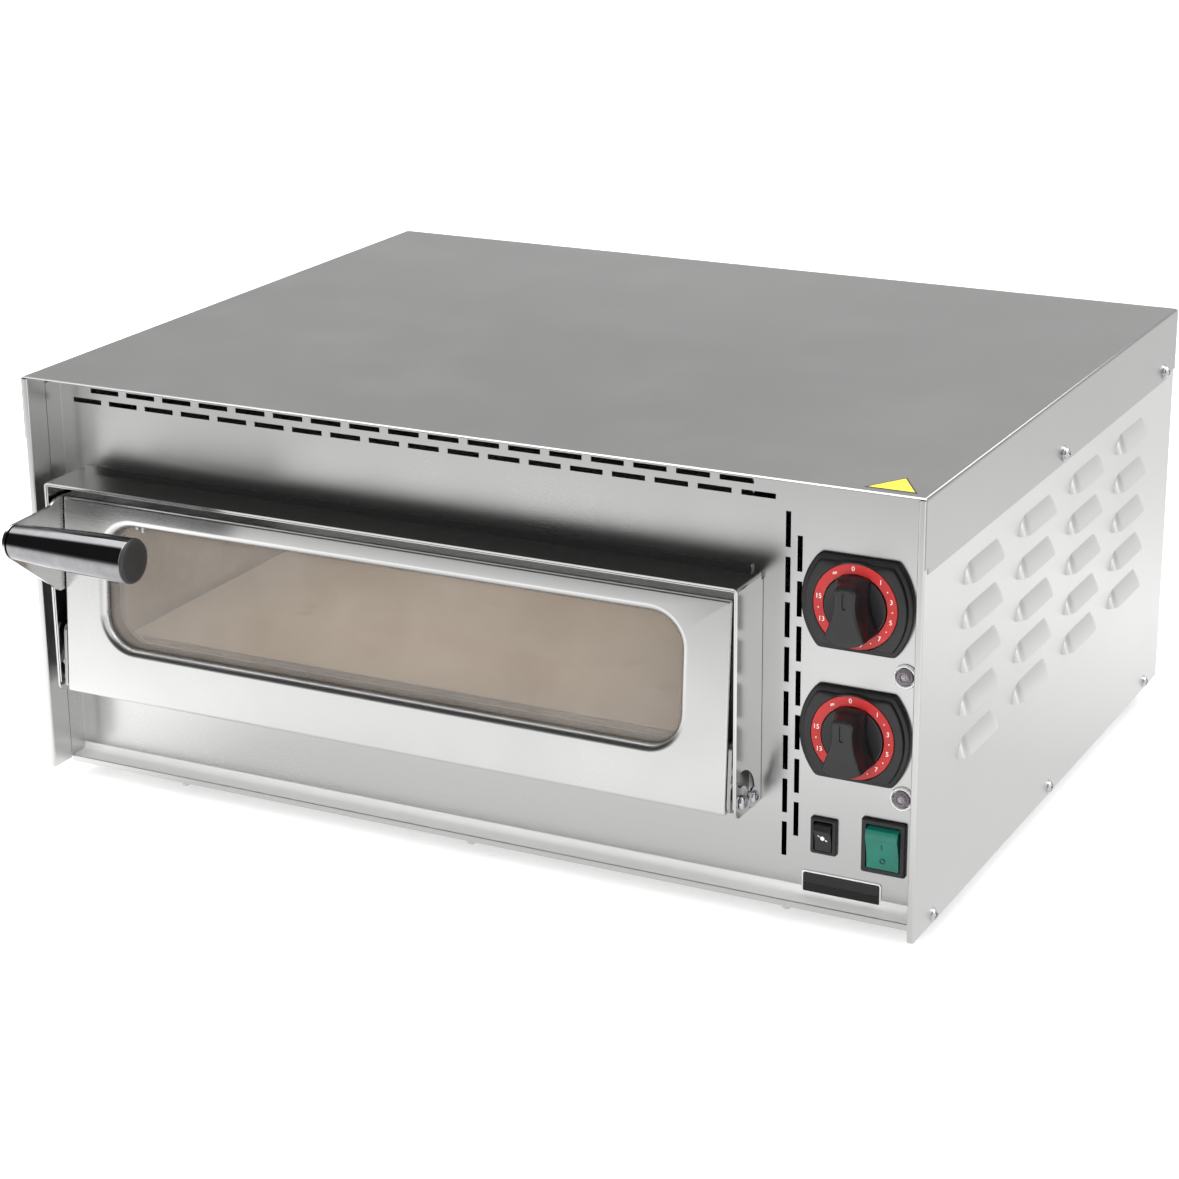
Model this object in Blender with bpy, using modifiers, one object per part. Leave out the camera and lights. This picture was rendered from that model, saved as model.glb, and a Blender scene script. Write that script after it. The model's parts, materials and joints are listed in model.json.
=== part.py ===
"""Countertop pizza oven: a box of folded stainless sheet round an insulated baking chamber.

The glazed door drops forward on two pivot screws inside a hood, with a chrome handle at its left.
Two timers, two pilot lamps and two rocker switches sit in a column to the right of the door.

Every piece is laid out from the casing's front, left, lower corner: X right, Y back, Z up.
Pieces that move are laid out from a point on their own joint axis.
"""

import math

import bmesh
import bpy
from mathutils import Matrix, Vector

# Driving dimensions, in metres.
CASE_WIDTH = 0.5515
CASE_DEPTH = 0.435
CASE_HEIGHT = 0.241
FOOT_HEIGHT = 0.014
SHEET = 0.001
GAP = 0.0004

COVER_DROP = 0.0405
HEM_WIDTH = 0.0020
HEM_DEPTH = 0.0160
PANEL_SETBACK = 0.0307
PANEL_FRONT_LIP = 0.0170

SHROUD_LEFT = 0.0125
SHROUD_RIGHT = 0.4510
SHROUD_BOTTOM = 0.0505
SHROUD_TOP = 0.1797
SHROUD_FRONT = -0.0020
SHROUD_SHEET = 0.0012

# The door leans back at rest, and opens to level.
PIVOT_Y = 0.0051
PIVOT_Z = 0.0589
DOOR_LEAN = math.radians(4.0)
DOOR_HALF_WIDTH = 0.21275
DOOR_FRONT = -0.0068
DOOR_BACK = 0.0152
DOOR_BOTTOM = -0.0074
DOOR_TOP = 0.1113
WINDOW_HALF_WIDTH = 0.1840
WINDOW_BOTTOM = 0.0250
WINDOW_TOP = 0.0980
WINDOW_CORNER = 0.0190
GLASS_SETBACK = 0.0044
GUIDE_RADIUS = 0.0130
GUIDE_ANGLE = math.radians(-7.0)
SLOT_START = math.radians(-16.0)
SLOT_END = math.radians(96.0)
SLOT_WIDTH = 0.0084

BRACKET_THICKNESS = 0.0020
HANDLE_LEFT = -DOOR_HALF_WIDTH
HANDLE_RIGHT = -0.1320
HANDLE_Y = -0.0508
HANDLE_Z = 0.0933
HANDLE_SMALL_RADIUS = 0.0101
HANDLE_LARGE_RADIUS = 0.0130
HANDLE_SCREW_RADIUS = 0.0028

CHAMBER_LEFT = 0.0320
CHAMBER_RIGHT = 0.4315
CHAMBER_FRONT = 0.0330
CHAMBER_BACK = 0.4020
CHAMBER_BOTTOM = 0.0460
CHAMBER_TOP = 0.1690
STONE_FRONT = 0.0385
STONE_BACK = 0.3880
STONE_BOTTOM = 0.0640
STONE_TOP = 0.0780
INSULATION_TOP = 0.2000
PARTITION_X = 0.4430

# Each heating element is a serpentine of runs along X whose two ends pass the right-hand wall.
ELEMENT_RADIUS = 0.0033
ELEMENT_HEIGHTS = {"upper": 0.1600, "lower": 0.0525}
ELEMENT_LEFT = 0.0750
ELEMENT_RIGHT = 0.3850
ELEMENT_END_X = 0.4550
ELEMENT_FIRST_Y = 0.0750
ELEMENT_PITCH = 0.0500
ELEMENT_RUNS = 6
ELEMENT_LAST_Y = ELEMENT_FIRST_Y + ELEMENT_PITCH * (ELEMENT_RUNS - 1)
CHAMBER_LAMP_Y = 0.2900
CHAMBER_LAMP_Z = 0.1200

TIMER_X = 0.5046
TIMER_HEIGHTS = {"upper": 0.1696, "lower": 0.0972}
BEZEL_RADIUS = 0.03115
BEZEL_HALF_HEIGHT = 0.0258
BEZEL_BOW = 0.0393
BEZEL_DEPTH = 0.0050
KNOB_RADIUS = 0.0170
GRIP_HEIGHT = 0.0205
LAMP_X = 0.5313
LAMP_HEIGHTS = {"upper": 0.1341, "lower": 0.0659}
MAIN_SWITCH_X = 0.5220
LIGHT_SWITCH_X = 0.4880
SWITCH_Z = 0.0366
ROCKER_TILT = math.radians(10.0)

SLOT_PITCH = 0.0250
SLOT_LENGTH = 0.0195
SLOT_HEIGHT = 0.0029

LOUVRE_COLUMNS = 4
LOUVRE_ROWS = 5
LOUVRE_PITCH_Y = 0.0867
LOUVRE_PITCH_Z = 0.0242
LOUVRE_LENGTH = 0.0550
LOUVRE_FIRST_Y = 0.0591
LOUVRE_FIRST_Z = 0.0814
LOUVRE_HEIGHT = 0.0110
LOUVRE_DEPTH = 0.0050

GLAND_X = 0.5000
GLAND_Z = 0.0450
GLAND_LENGTH = 0.0180

# The handle is the foremost point and the cable gland the rearmost; the row is centred on them.
HANDLE_DROP = HANDLE_Y * math.cos(DOOR_LEAN) + HANDLE_Z * math.sin(DOOR_LEAN)
FRONT_REACH = HANDLE_LARGE_RADIUS - PIVOT_Y - HANDLE_DROP
MIDDLE_Y = (CASE_DEPTH + GLAND_LENGTH - FRONT_REACH) / 2


def clear_scene():
    for obj in list(bpy.data.objects):
        bpy.data.objects.remove(obj, do_unlink=True)


def new_collection(name, hidden=False):
    collection = bpy.data.collections.new(name)
    collection.hide_render = hidden
    bpy.context.scene.collection.children.link(collection)
    return collection


def finish(name, colour, roughness, metallic=0.0, alpha=1.0):
    """A Principled material of one colour."""
    material = bpy.data.materials.new(name)
    material.use_nodes = True
    shader = material.node_tree.nodes["Principled BSDF"]
    shader.inputs["Base Color"].default_value = (*colour, 1.0)
    shader.inputs["Roughness"].default_value = roughness
    shader.inputs["Metallic"].default_value = metallic
    shader.inputs["Alpha"].default_value = alpha
    material.diffuse_color = (*colour, alpha)
    return material


clear_scene()
OVEN = new_collection("countertop_pizza_oven")
CUTTERS = new_collection("cutters", hidden=True)

STAINLESS = finish("brushed_stainless", (0.62, 0.62, 0.61), 0.32, 1.0)
DARK_STEEL = finish("dark_steel", (0.22, 0.21, 0.20), 0.45, 0.9)
CHROME = finish("chrome", (0.86, 0.86, 0.87), 0.06, 1.0)
ZINC = finish("zinc_plated_steel", (0.66, 0.67, 0.68), 0.30, 1.0)
BLACK_PLASTIC = finish("black_plastic", (0.03, 0.03, 0.032), 0.45)
GREEN_PLASTIC = finish("green_translucent_plastic", (0.01, 0.28, 0.19), 0.25)
RED_PLASTIC = finish("red_dial_plastic", (0.62, 0.04, 0.03), 0.40)
CLEAR_PLASTIC = finish("clear_lens", (0.70, 0.70, 0.68), 0.10, 0.0, 0.5)
GLASS = finish("oven_glass", (0.80, 0.78, 0.72), 0.03, 0.0, 0.3)
CORDIERITE = finish("cordierite", (0.62, 0.50, 0.36), 0.85)
MINERAL_WOOL = finish("mineral_wool", (0.75, 0.72, 0.62), 0.95)
CERAMIC = finish("ceramic", (0.80, 0.78, 0.72), 0.50)
RUBBER = finish("black_rubber", (0.03, 0.03, 0.03), 0.80)
SILICONE = finish("silicone", (0.10, 0.10, 0.10), 0.60)


def empty(name, parent, location, rotation=(0.0, 0.0, 0.0)):
    holder = bpy.data.objects.new(name, None)
    OVEN.objects.link(holder)
    holder.parent = parent
    holder.location = location
    holder.rotation_euler = rotation
    return holder


CASING = empty("casing_corner", None, (-CASE_WIDTH / 2, -MIDDLE_Y, FOOT_HEIGHT))


def place(name, mesh, material, parent, location=(0, 0, 0), rotation=(0, 0, 0), collection=None):
    """Puts a mesh in the scene as one sub-part, or as a cutter."""
    obj = bpy.data.objects.new(name, mesh)
    (collection or OVEN).objects.link(obj)
    obj.parent = parent
    obj.location = location
    obj.rotation_euler = rotation
    if material:
        mesh.materials.append(material)
    if collection is CUTTERS:
        obj.hide_render = True
        obj.display_type = "WIRE"
    return obj


def mesh_from(name, bm):
    bmesh.ops.recalc_face_normals(bm, faces=bm.faces)
    mesh = bpy.data.meshes.new(name)
    bm.to_mesh(mesh)
    bm.free()
    return mesh


def add_box(bm, low, high):
    low, high = Vector(low), Vector(high)
    size = Matrix.Diagonal((*(high - low), 1.0))
    bmesh.ops.create_cube(bm, size=1.0, matrix=Matrix.Translation((low + high) / 2) @ size)


def boxes_mesh(name, boxes):
    bm = bmesh.new()
    for low, high in boxes:
        add_box(bm, low, high)
    return mesh_from(name, bm)


def block(name, low, high, material, parent=CASING, bevel=0.0):
    obj = place(name, boxes_mesh(name, [(low, high)]), material, parent)
    if bevel:
        rounding = obj.modifiers.new("rounded_edges", "BEVEL")
        rounding.width = bevel
        rounding.segments = 2
    return obj


def box_cutter(name, boxes, parent=CASING):
    return place(name, boxes_mesh(name, boxes), None, parent, collection=CUTTERS)


def cut(obj, cutter, operation="DIFFERENCE"):
    boolean = obj.modifiers.new(cutter.name, "BOOLEAN")
    boolean.operation = operation
    boolean.solver = "EXACT"
    boolean.object = cutter
    return obj


def thicken(obj, thickness, outward=False):
    shell = obj.modifiers.new("sheet", "SOLIDIFY")
    shell.thickness = thickness
    shell.offset = 1.0 if outward else -1.0
    shell.use_even_offset = True
    return obj


def tray(name, low, high, open_side, thickness, material, parent=CASING):
    """A box of sheet that is open on one side; low and high are its outer corners."""
    bm = bmesh.new()
    add_box(bm, low, high)
    side = Vector(open_side)
    lid = max(bm.faces, key=lambda face: face.normal.dot(side))
    bmesh.ops.delete(bm, geom=[lid], context="FACES_ONLY")
    mesh = bpy.data.meshes.new(name)
    bm.to_mesh(mesh)
    bm.free()
    return thicken(place(name, mesh, material, parent), thickness)


def folded_sheet(name, path, axis, start, end, thickness, material, parent=CASING):
    """A sheet folded along a path of (across, up) points and as long as start to end on axis.

    The path is the sheet's outer face, which is on the left hand of one who walks it with the
    axis pointing down.
    """
    bm = bmesh.new()
    rows = []
    for along in (start, end):
        points = [(along, u, v) if axis == "X" else (u, along, v) if axis == "Y" else (u, v, along)
                  for u, v in path]
        rows.append([bm.verts.new(point) for point in points])
    for near, far, far_next, near_next in zip(rows[0], rows[1], rows[1][1:], rows[0][1:]):
        bm.faces.new((near, near_next, far_next, far))
    mesh = bpy.data.meshes.new(name)
    bm.to_mesh(mesh)
    bm.free()
    return thicken(place(name, mesh, material, parent), thickness)


def arc(centre, radius, start, end, steps):
    """Points along an arc, angles in radians."""
    turn = (end - start) / steps
    angles = [start + turn * i for i in range(steps + 1)]
    return [(centre[0] + radius * math.cos(a), centre[1] + radius * math.sin(a)) for a in angles]


def rounded_rectangle(left, right, bottom, top, radius, steps=6):
    corners = [
        ((right - radius, top - radius), 0.0),
        ((left + radius, top - radius), 0.5 * math.pi),
        ((left + radius, bottom + radius), math.pi),
        ((right - radius, bottom + radius), 1.5 * math.pi),
    ]
    outline = []
    for centre, start in corners:
        outline += arc(centre, radius, start, start + 0.5 * math.pi, steps)
    return outline


def flat_mesh(name, outlines, low, high, axis):
    """A flat piece from closed outlines, the later ones holes, between low and high on axis."""
    curve = bpy.data.curves.new(name, "CURVE")
    curve.dimensions = "2D"
    curve.fill_mode = "BOTH"
    curve.extrude = (high - low) / 2
    for outline in outlines:
        spline = curve.splines.new("POLY")
        spline.points.add(len(outline) - 1)
        for point, (u, v) in zip(spline.points, outline):
            point.co = (u, v, 0.0, 1.0)
        spline.use_cyclic_u = True
    holder = bpy.data.objects.new(name, curve)
    bpy.context.scene.collection.objects.link(holder)
    graph = bpy.context.evaluated_depsgraph_get()
    mesh = bpy.data.meshes.new_from_object(holder.evaluated_get(graph))
    bpy.data.objects.remove(holder, do_unlink=True)
    bpy.data.curves.remove(curve)
    middle = (low + high) / 2
    turns = {
        "X": Matrix(((0, 0, 1, middle), (1, 0, 0, 0), (0, 1, 0, 0), (0, 0, 0, 1))),
        "Y": Matrix(((1, 0, 0, 0), (0, 0, -1, middle), (0, 1, 0, 0), (0, 0, 0, 1))),
        "Z": Matrix.Translation((0, 0, middle)),
    }
    bm = bmesh.new()
    bm.from_mesh(mesh)
    bmesh.ops.remove_doubles(bm, verts=bm.verts, dist=0.00001)
    bmesh.ops.transform(bm, matrix=turns[axis], verts=bm.verts)
    bmesh.ops.recalc_face_normals(bm, faces=bm.faces)
    bm.to_mesh(mesh)
    bm.free()
    return mesh


def flat_plate(name, outlines, low, high, axis, material, parent=CASING):
    return place(name, flat_mesh(name, outlines, low, high, axis), material, parent)


def flat_cutter(name, outlines, low, high, axis, parent=CASING):
    return place(name, flat_mesh(name, outlines, low, high, axis), None, parent, collection=CUTTERS)


# Turned pieces have their own Z along the axis; these rotations point it out of each side.
OUT_FRONT = (math.pi / 2, 0.0, 0.0)
OUT_BACK = (-math.pi / 2, 0.0, 0.0)
OUT_RIGHT = (0.0, math.pi / 2, 0.0)
OUT_LEFT = (0.0, -math.pi / 2, 0.0)


def turned(name, profile, material, parent, location, rotation=(0, 0, 0), steps=24):
    """A turned piece; its profile of (radius, height) runs down the outer side from the top."""
    bm = bmesh.new()
    points = [bm.verts.new((radius, 0.0, height)) for radius, height in profile]
    for first, second in zip(points, points[1:]):
        bm.edges.new((first, second))
    if profile[0][0] > 0.0:
        bm.edges.new((points[-1], points[0]))
    mesh = bpy.data.meshes.new(name)
    bm.to_mesh(mesh)
    bm.free()
    obj = place(name, mesh, material, parent, location, rotation)
    screw = obj.modifiers.new("turning", "SCREW")
    screw.steps = steps
    screw.render_steps = steps
    screw.use_merge_vertices = True
    screw.merge_threshold = 0.00001
    return obj


def rod_cutter(name, radius, start, end, parent=CASING, segments=24):
    """A round cutter from one point to another."""
    start, end = Vector(start), Vector(end)
    along = end - start
    pose = Matrix.Translation((start + end) / 2) @ along.to_track_quat("Z", "Y").to_matrix().to_4x4()
    bm = bmesh.new()
    bmesh.ops.create_cone(
        bm, cap_ends=True, segments=segments, radius1=radius, radius2=radius,
        depth=along.length, matrix=pose,
    )
    return place(name, mesh_from(name, bm), None, parent, collection=CUTTERS)


def tube(name, points, radius, material, parent=CASING):
    curve = bpy.data.curves.new(name, "CURVE")
    curve.dimensions = "3D"
    curve.bevel_depth = radius
    curve.bevel_resolution = 2
    curve.use_fill_caps = True
    spline = curve.splines.new("POLY")
    spline.points.add(len(points) - 1)
    for point, co in zip(spline.points, points):
        point.co = (*co, 1.0)
    obj = bpy.data.objects.new(name, curve)
    OVEN.objects.link(obj)
    obj.parent = parent
    curve.materials.append(material)
    return obj


def louvre_points(low_y, low_z, outer, side, inset, reach):
    """Corners of one pressed louvre: a wedge that is deepest along its lower edge."""
    high_y = low_y + LOUVRE_LENGTH - inset
    low_y += inset
    high_z = low_z + LOUVRE_HEIGHT - inset
    taper = 0.005
    lip = outer + side * (LOUVRE_DEPTH - inset)
    base = outer - side * reach
    corners = [(base, low_y, low_z), (base, high_y, low_z)]
    corners += [(base, low_y + taper, high_z), (base, high_y - taper, high_z)]
    corners += [(outer, low_y + taper, high_z), (outer, high_y - taper, high_z)]
    corners += [(outer, low_y, low_z), (outer, high_y, low_z)]
    corners += [(lip, low_y + taper, low_z), (lip, high_y - taper, low_z)]
    return corners


def louvre_cutter(name, outer, side, inset, drop, reach):
    bm = bmesh.new()
    for column in range(LOUVRE_COLUMNS):
        for row in range(LOUVRE_ROWS):
            low_y = LOUVRE_FIRST_Y + LOUVRE_PITCH_Y * column
            low_z = LOUVRE_FIRST_Z + LOUVRE_PITCH_Z * row - drop
            points = louvre_points(low_y, low_z, outer, side, inset, reach)
            corners = [bm.verts.new(point) for point in points]
            hull = bmesh.ops.convex_hull(bm, input=corners)
            spare = [item for item in hull["geom_interior"] if isinstance(item, bmesh.types.BMVert)]
            bmesh.ops.delete(bm, geom=spare, context="VERTS")
    return place(name, mesh_from(name, bm), None, CASING, collection=CUTTERS)


def side_panel(name, side):
    """Side sheet with a boxed hem down its front edge and pressed louvres; side is -1 or 1."""
    outer = CASE_WIDTH / 2 + side * (CASE_WIDTH / 2 - SHEET - GAP)
    inward = -side
    back = CASE_DEPTH - SHEET - GAP
    path = [
        (outer, back),
        (outer, 0.0005),
        (outer + inward * HEM_WIDTH, 0.0005),
        (outer + inward * HEM_WIDTH, HEM_DEPTH),
    ]
    if side > 0:
        path.reverse()
    top = CASE_HEIGHT - SHEET - GAP
    panel = folded_sheet(name, path, "Z", 0.0, top, SHEET, STAINLESS)
    cut(panel, louvre_cutter(name + "_hoods", outer, side, 0.0, 0.0, SHEET / 2), "UNION")
    cut(panel, louvre_cutter(name + "_hollows", outer, side, 0.0011, 0.0002, 3 * SHEET))
    return panel


def top_cover():
    path = [
        (0.0, CASE_HEIGHT - COVER_DROP),
        (0.0, CASE_HEIGHT),
        (CASE_WIDTH, CASE_HEIGHT),
        (CASE_WIDTH, CASE_HEIGHT - COVER_DROP),
    ]
    return folded_sheet("top_cover", path, "Y", 0.0, CASE_DEPTH, SHEET, STAINLESS)


def front_slots():
    """Boxes for the cooling slots: two staggered rows above the door and two columns beside it."""
    front, back = PANEL_SETBACK - 0.002, PANEL_SETBACK + 0.004
    boxes = []
    for count, left, bottom in ((17, 0.0256, 0.2264), (18, 0.0130, 0.2198)):
        for i in range(count):
            x = left + SLOT_PITCH * i
            boxes.append(((x, front, bottom), (x + SLOT_LENGTH, back, bottom + SLOT_HEIGHT)))
    for count, left, top in ((8, 0.4633, 0.2143), (7, 0.4700, 0.2019)):
        for i in range(count):
            z = top - 0.02485 * i
            boxes.append(((left, front, z - SLOT_LENGTH), (left + SLOT_HEIGHT, back, z)))
    return boxes


def front_panel():
    edge = 2 * (SHEET + GAP)
    low = (edge, PANEL_FRONT_LIP, 0.0003)
    high = (CASE_WIDTH - edge, PANEL_SETBACK + SHEET, CASE_HEIGHT - SHEET - GAP)
    panel = tray("front_panel", low, high, (0, -1, 0), SHEET, STAINLESS)
    cut(panel, box_cutter("panel_slots", front_slots()))
    front, back = PANEL_SETBACK - 0.002, PANEL_SETBACK + 0.004
    mouth = ((CHAMBER_LEFT + SHEET, front, 0.0620), (CHAMBER_RIGHT - SHEET, back, 0.1670))
    windows = [mouth]
    switches = (MAIN_SWITCH_X, 0.0109, 0.0139), (LIGHT_SWITCH_X, 0.0063, 0.0094)
    for centre_x, half_x, half_z in switches:
        low = (centre_x - half_x, front, SWITCH_Z - half_z)
        windows.append((low, (centre_x + half_x, back, SWITCH_Z + half_z)))
    cut(panel, box_cutter("panel_windows", windows))
    for level, z in TIMER_HEIGHTS.items():
        hole = rod_cutter("timer_hole_" + level, 0.006, (TIMER_X, front, z), (TIMER_X, back, z))
        cut(panel, hole)
    for level, z in LAMP_HEIGHTS.items():
        cut(panel, rod_cutter("lamp_hole_" + level, 0.0055, (LAMP_X, front, z), (LAMP_X, back, z)))
    return panel


def rear_panel():
    low = (SHEET + GAP, CASE_DEPTH - SHEET, 0.0003)
    high = (CASE_WIDTH - SHEET - GAP, CASE_DEPTH, CASE_HEIGHT - SHEET - GAP)
    panel = block("rear_panel", low, high, STAINLESS)
    front, back = CASE_DEPTH - 0.003, CASE_DEPTH + 0.002
    vents = []
    for row in range(2):
        for i in range(18):
            x = 0.040 + SLOT_PITCH * i
            z = 0.196 + 0.0145 * row
            vents.append(((x, front, z), (x + SLOT_LENGTH, back, z + 0.004)))
    cut(panel, box_cutter("rear_vents", vents))
    return cut(panel, rod_cutter("gland_hole", 0.0083, (GLAND_X, front, GLAND_Z), (GLAND_X, back, GLAND_Z)))


def base_tray():
    low = (2 * SHEET + 2 * GAP, PANEL_SETBACK + SHEET + GAP, 0.0)
    high = (CASE_WIDTH - 2 * SHEET - 2 * GAP, CASE_DEPTH - SHEET - GAP, 0.020)
    return tray("base_tray", low, high, (0, 0, 1), SHEET, STAINLESS)


def arc_slot_outline():
    """Curved slot round the door's pivot, as (y, z) points."""
    centre = (PIVOT_Y, PIVOT_Z)
    half = SLOT_WIDTH / 2
    outline = arc(centre, GUIDE_RADIUS + half, SLOT_START, SLOT_END, 8)
    for angle, turn in ((SLOT_END, 0.0), (SLOT_START, math.pi)):
        end = (centre[0] + GUIDE_RADIUS * math.cos(angle), centre[1] + GUIDE_RADIUS * math.sin(angle))
        outline += arc(end, half, angle + turn, angle + turn + math.pi, 6)[1:-1]
        if angle == SLOT_END:
            outline += arc(centre, GUIDE_RADIUS - half, SLOT_END, SLOT_START, 6)
    return outline


def door_shroud():
    path = [
        (SHROUD_LEFT, SHROUD_BOTTOM),
        (SHROUD_LEFT, SHROUD_TOP),
        (SHROUD_RIGHT, SHROUD_TOP),
        (SHROUD_RIGHT, SHROUD_BOTTOM),
    ]
    back = PANEL_SETBACK - GAP
    shroud = folded_sheet("door_shroud", path, "Y", SHROUD_FRONT, back, SHROUD_SHEET, STAINLESS)
    low, high = SHROUD_LEFT - 0.003, SHROUD_RIGHT + 0.003
    cut(shroud, flat_cutter("guide_slots", [arc_slot_outline()], low, high, "X"))
    start, end = (low, PIVOT_Y, PIVOT_Z), (high, PIVOT_Y, PIVOT_Z)
    return cut(shroud, rod_cutter("pivot_holes", 0.0029, start, end))


def chamber():
    low = (CHAMBER_LEFT, CHAMBER_FRONT, CHAMBER_BOTTOM)
    high = (CHAMBER_RIGHT, CHAMBER_BACK, CHAMBER_TOP)
    liner = tray("baking_chamber", low, high, (0, -1, 0), SHEET, DARK_STEEL)
    for cutter in SERVICE_HOLES:
        cut(liner, cutter)
    return liner


def service_holes():
    """Round holes towards the control side, for the element ends and the chamber lamp."""
    start_x, end_x = CHAMBER_RIGHT - 0.004, PARTITION_X + 0.004
    holes = []
    for name, z in ELEMENT_HEIGHTS.items():
        for end, y in (("front", ELEMENT_FIRST_Y), ("back", ELEMENT_LAST_Y)):
            start, stop = (start_x, y, z), (end_x, y, z)
            holes.append(rod_cutter(f"{name}_element_{end}_hole", 0.0040, start, stop, segments=12))
    start = (start_x, CHAMBER_LAMP_Y, CHAMBER_LAMP_Z)
    stop = (end_x, CHAMBER_LAMP_Y, CHAMBER_LAMP_Z)
    holes.append(rod_cutter("lamp_hole", 0.0150, start, stop))
    return holes


def element_path(z):
    """A serpentine of runs along X, with its two ends out of the right-hand wall."""
    radius = ELEMENT_PITCH / 2
    points = [(ELEMENT_END_X, ELEMENT_FIRST_Y, z)]
    for run in range(ELEMENT_RUNS - 1):
        y = ELEMENT_FIRST_Y + ELEMENT_PITCH * run
        leftwards = run % 2 == 0
        x = ELEMENT_LEFT if leftwards else ELEMENT_RIGHT
        first, last = (-0.5, -1.5) if leftwards else (-0.5, 0.5)
        points += [(px, py, z) for px, py in
                   arc((x, y + radius), radius, first * math.pi, last * math.pi, 6)]
    points.append((ELEMENT_END_X, ELEMENT_LAST_Y, z))
    return points


def front_sill():
    back = STONE_FRONT - 0.0012
    path = [
        (CHAMBER_FRONT + 0.0015, CHAMBER_BOTTOM + SHEET + GAP),
        (CHAMBER_FRONT + 0.0015, STONE_TOP),
        (back, STONE_TOP),
    ]
    path.reverse()
    start, end = CHAMBER_LEFT + 2 * SHEET, CHAMBER_RIGHT - 2 * SHEET
    return folded_sheet("front_sill", path, "X", start, end, SHEET, DARK_STEEL)


def stone_and_support():
    left, right = CHAMBER_LEFT + 0.0045, CHAMBER_RIGHT - 0.0045
    low, high = (left, STONE_FRONT, STONE_BOTTOM), (right, STONE_BACK, STONE_TOP)
    block("baking_stone", low, high, CORDIERITE, bevel=0.001)
    rim, back, thickness = 0.010, STONE_BACK - 0.002, 0.0056
    outer = rounded_rectangle(left, right, STONE_FRONT, back, 0.003, 1)
    inner = rounded_rectangle(left + rim, right - rim, STONE_FRONT + rim, back - rim, 0.003, 1)
    top = STONE_BOTTOM - GAP
    flat_plate("stone_support_frame", [outer, inner], top - thickness, top, "Z", DARK_STEEL)


def insulation():
    left, right, top = 0.006, PARTITION_X - GAP, INSULATION_TOP
    bottom, front, back = 0.0016, CHAMBER_FRONT + 0.001, CHAMBER_BACK
    in_left, in_right, in_top = CHAMBER_LEFT - GAP, CHAMBER_RIGHT + GAP, CHAMBER_TOP + GAP
    arch = [
        (left, bottom), (left, top), (right, top), (right, bottom),
        (in_right, bottom), (in_right, in_top), (in_left, in_top), (in_left, bottom),
    ]
    blanket = flat_plate("insulation_blanket", [arch], front, back, "Y", MINERAL_WOOL)
    for cutter in SERVICE_HOLES:
        cut(blanket, cutter)
    low, high = (CHAMBER_LEFT, front, bottom), (CHAMBER_RIGHT, back, CHAMBER_BOTTOM - GAP)
    block("insulation_floor", low, high, MINERAL_WOOL)
    block("insulation_rear", (left, back + GAP, bottom), (right, 0.425, top), MINERAL_WOOL)


def partition_plate():
    low = (PARTITION_X, CHAMBER_FRONT + 0.001, 0.0014)
    high = (PARTITION_X + SHEET, 0.432, 0.236)
    plate = block("partition_plate", low, high, ZINC)
    for cutter in SERVICE_HOLES:
        cut(plate, cutter)


def chamber_lamp():
    """Bulb, holder and heat-proof glass on the chamber's right-hand wall."""
    where = (CHAMBER_RIGHT - SHEET - GAP, CHAMBER_LAMP_Y, CHAMBER_LAMP_Z)
    glass = [(0.0, 0.0190), (0.0090, 0.0165), (0.0150, 0.0080), (0.0155, 0.0020), (0.0215, 0.0020),
             (0.0215, 0.0), (0.0140, 0.0), (0.0140, 0.0070), (0.0080, 0.0150), (0.0, 0.0172)]
    turned("lamp_glass", glass, GLASS, CASING, where, OUT_LEFT)
    bulb = [(0.0, 0.0130), (0.0040, 0.0120), (0.0060, 0.0080), (0.0060, -0.0040), (0.0, -0.0040)]
    turned("lamp_bulb", bulb, GLASS, CASING, where, OUT_LEFT)
    holder = [(0.0, -0.0044), (0.0130, -0.0044), (0.0130, -0.0380), (0.0, -0.0380)]
    turned("lamp_holder", holder, CERAMIC, CASING, where, OUT_LEFT)


def feet():
    rim = [(0.0, -0.0003), (0.0140, -0.0003), (0.0140, -0.0040), (0.0120, -FOOT_HEIGHT),
           (0.0, -FOOT_HEIGHT)]
    for side, x in (("left", 0.0365), ("right", 0.5150)):
        for end, y in (("front", 0.080), ("rear", 0.400)):
            turned(f"foot_{end}_{side}", rim, RUBBER, CASING, (x, y, 0.0))


def electrics():
    for level, z in TIMER_HEIGHTS.items():
        low = (TIMER_X - 0.024, PANEL_SETBACK + SHEET + GAP, z - 0.027)
        high = (TIMER_X + 0.024, PANEL_SETBACK + 0.034, z + 0.027)
        timer = block("timer_movement_" + level, low, high, ZINC, bevel=0.0015)
        start = (TIMER_X, PANEL_SETBACK, z)
        end = (TIMER_X, PANEL_SETBACK + 0.014, z)
        cut(timer, rod_cutter("timer_bush_" + level, 0.0036, start, end, segments=16))
    terminal = block("terminal_block", (0.478, 0.385, 0.0016), (0.522, 0.405, 0.0240), BLACK_PLASTIC)
    wells = [((0.4822 + 0.0095 * i, 0.390, 0.016), (0.4882 + 0.0095 * i, 0.400, 0.026))
             for i in range(4)]
    cut(terminal, box_cutter("terminal_wells", wells))
    limiter = [(0.0, 0.0200), (0.0070, 0.0200), (0.0070, 0.0150), (0.0150, 0.0150),
               (0.0150, 0.0), (0.0, 0.0)]
    turned("limit_thermostat", limiter, BLACK_PLASTIC, CASING,
           (PARTITION_X + SHEET + GAP, 0.180, 0.090), OUT_RIGHT)


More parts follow.
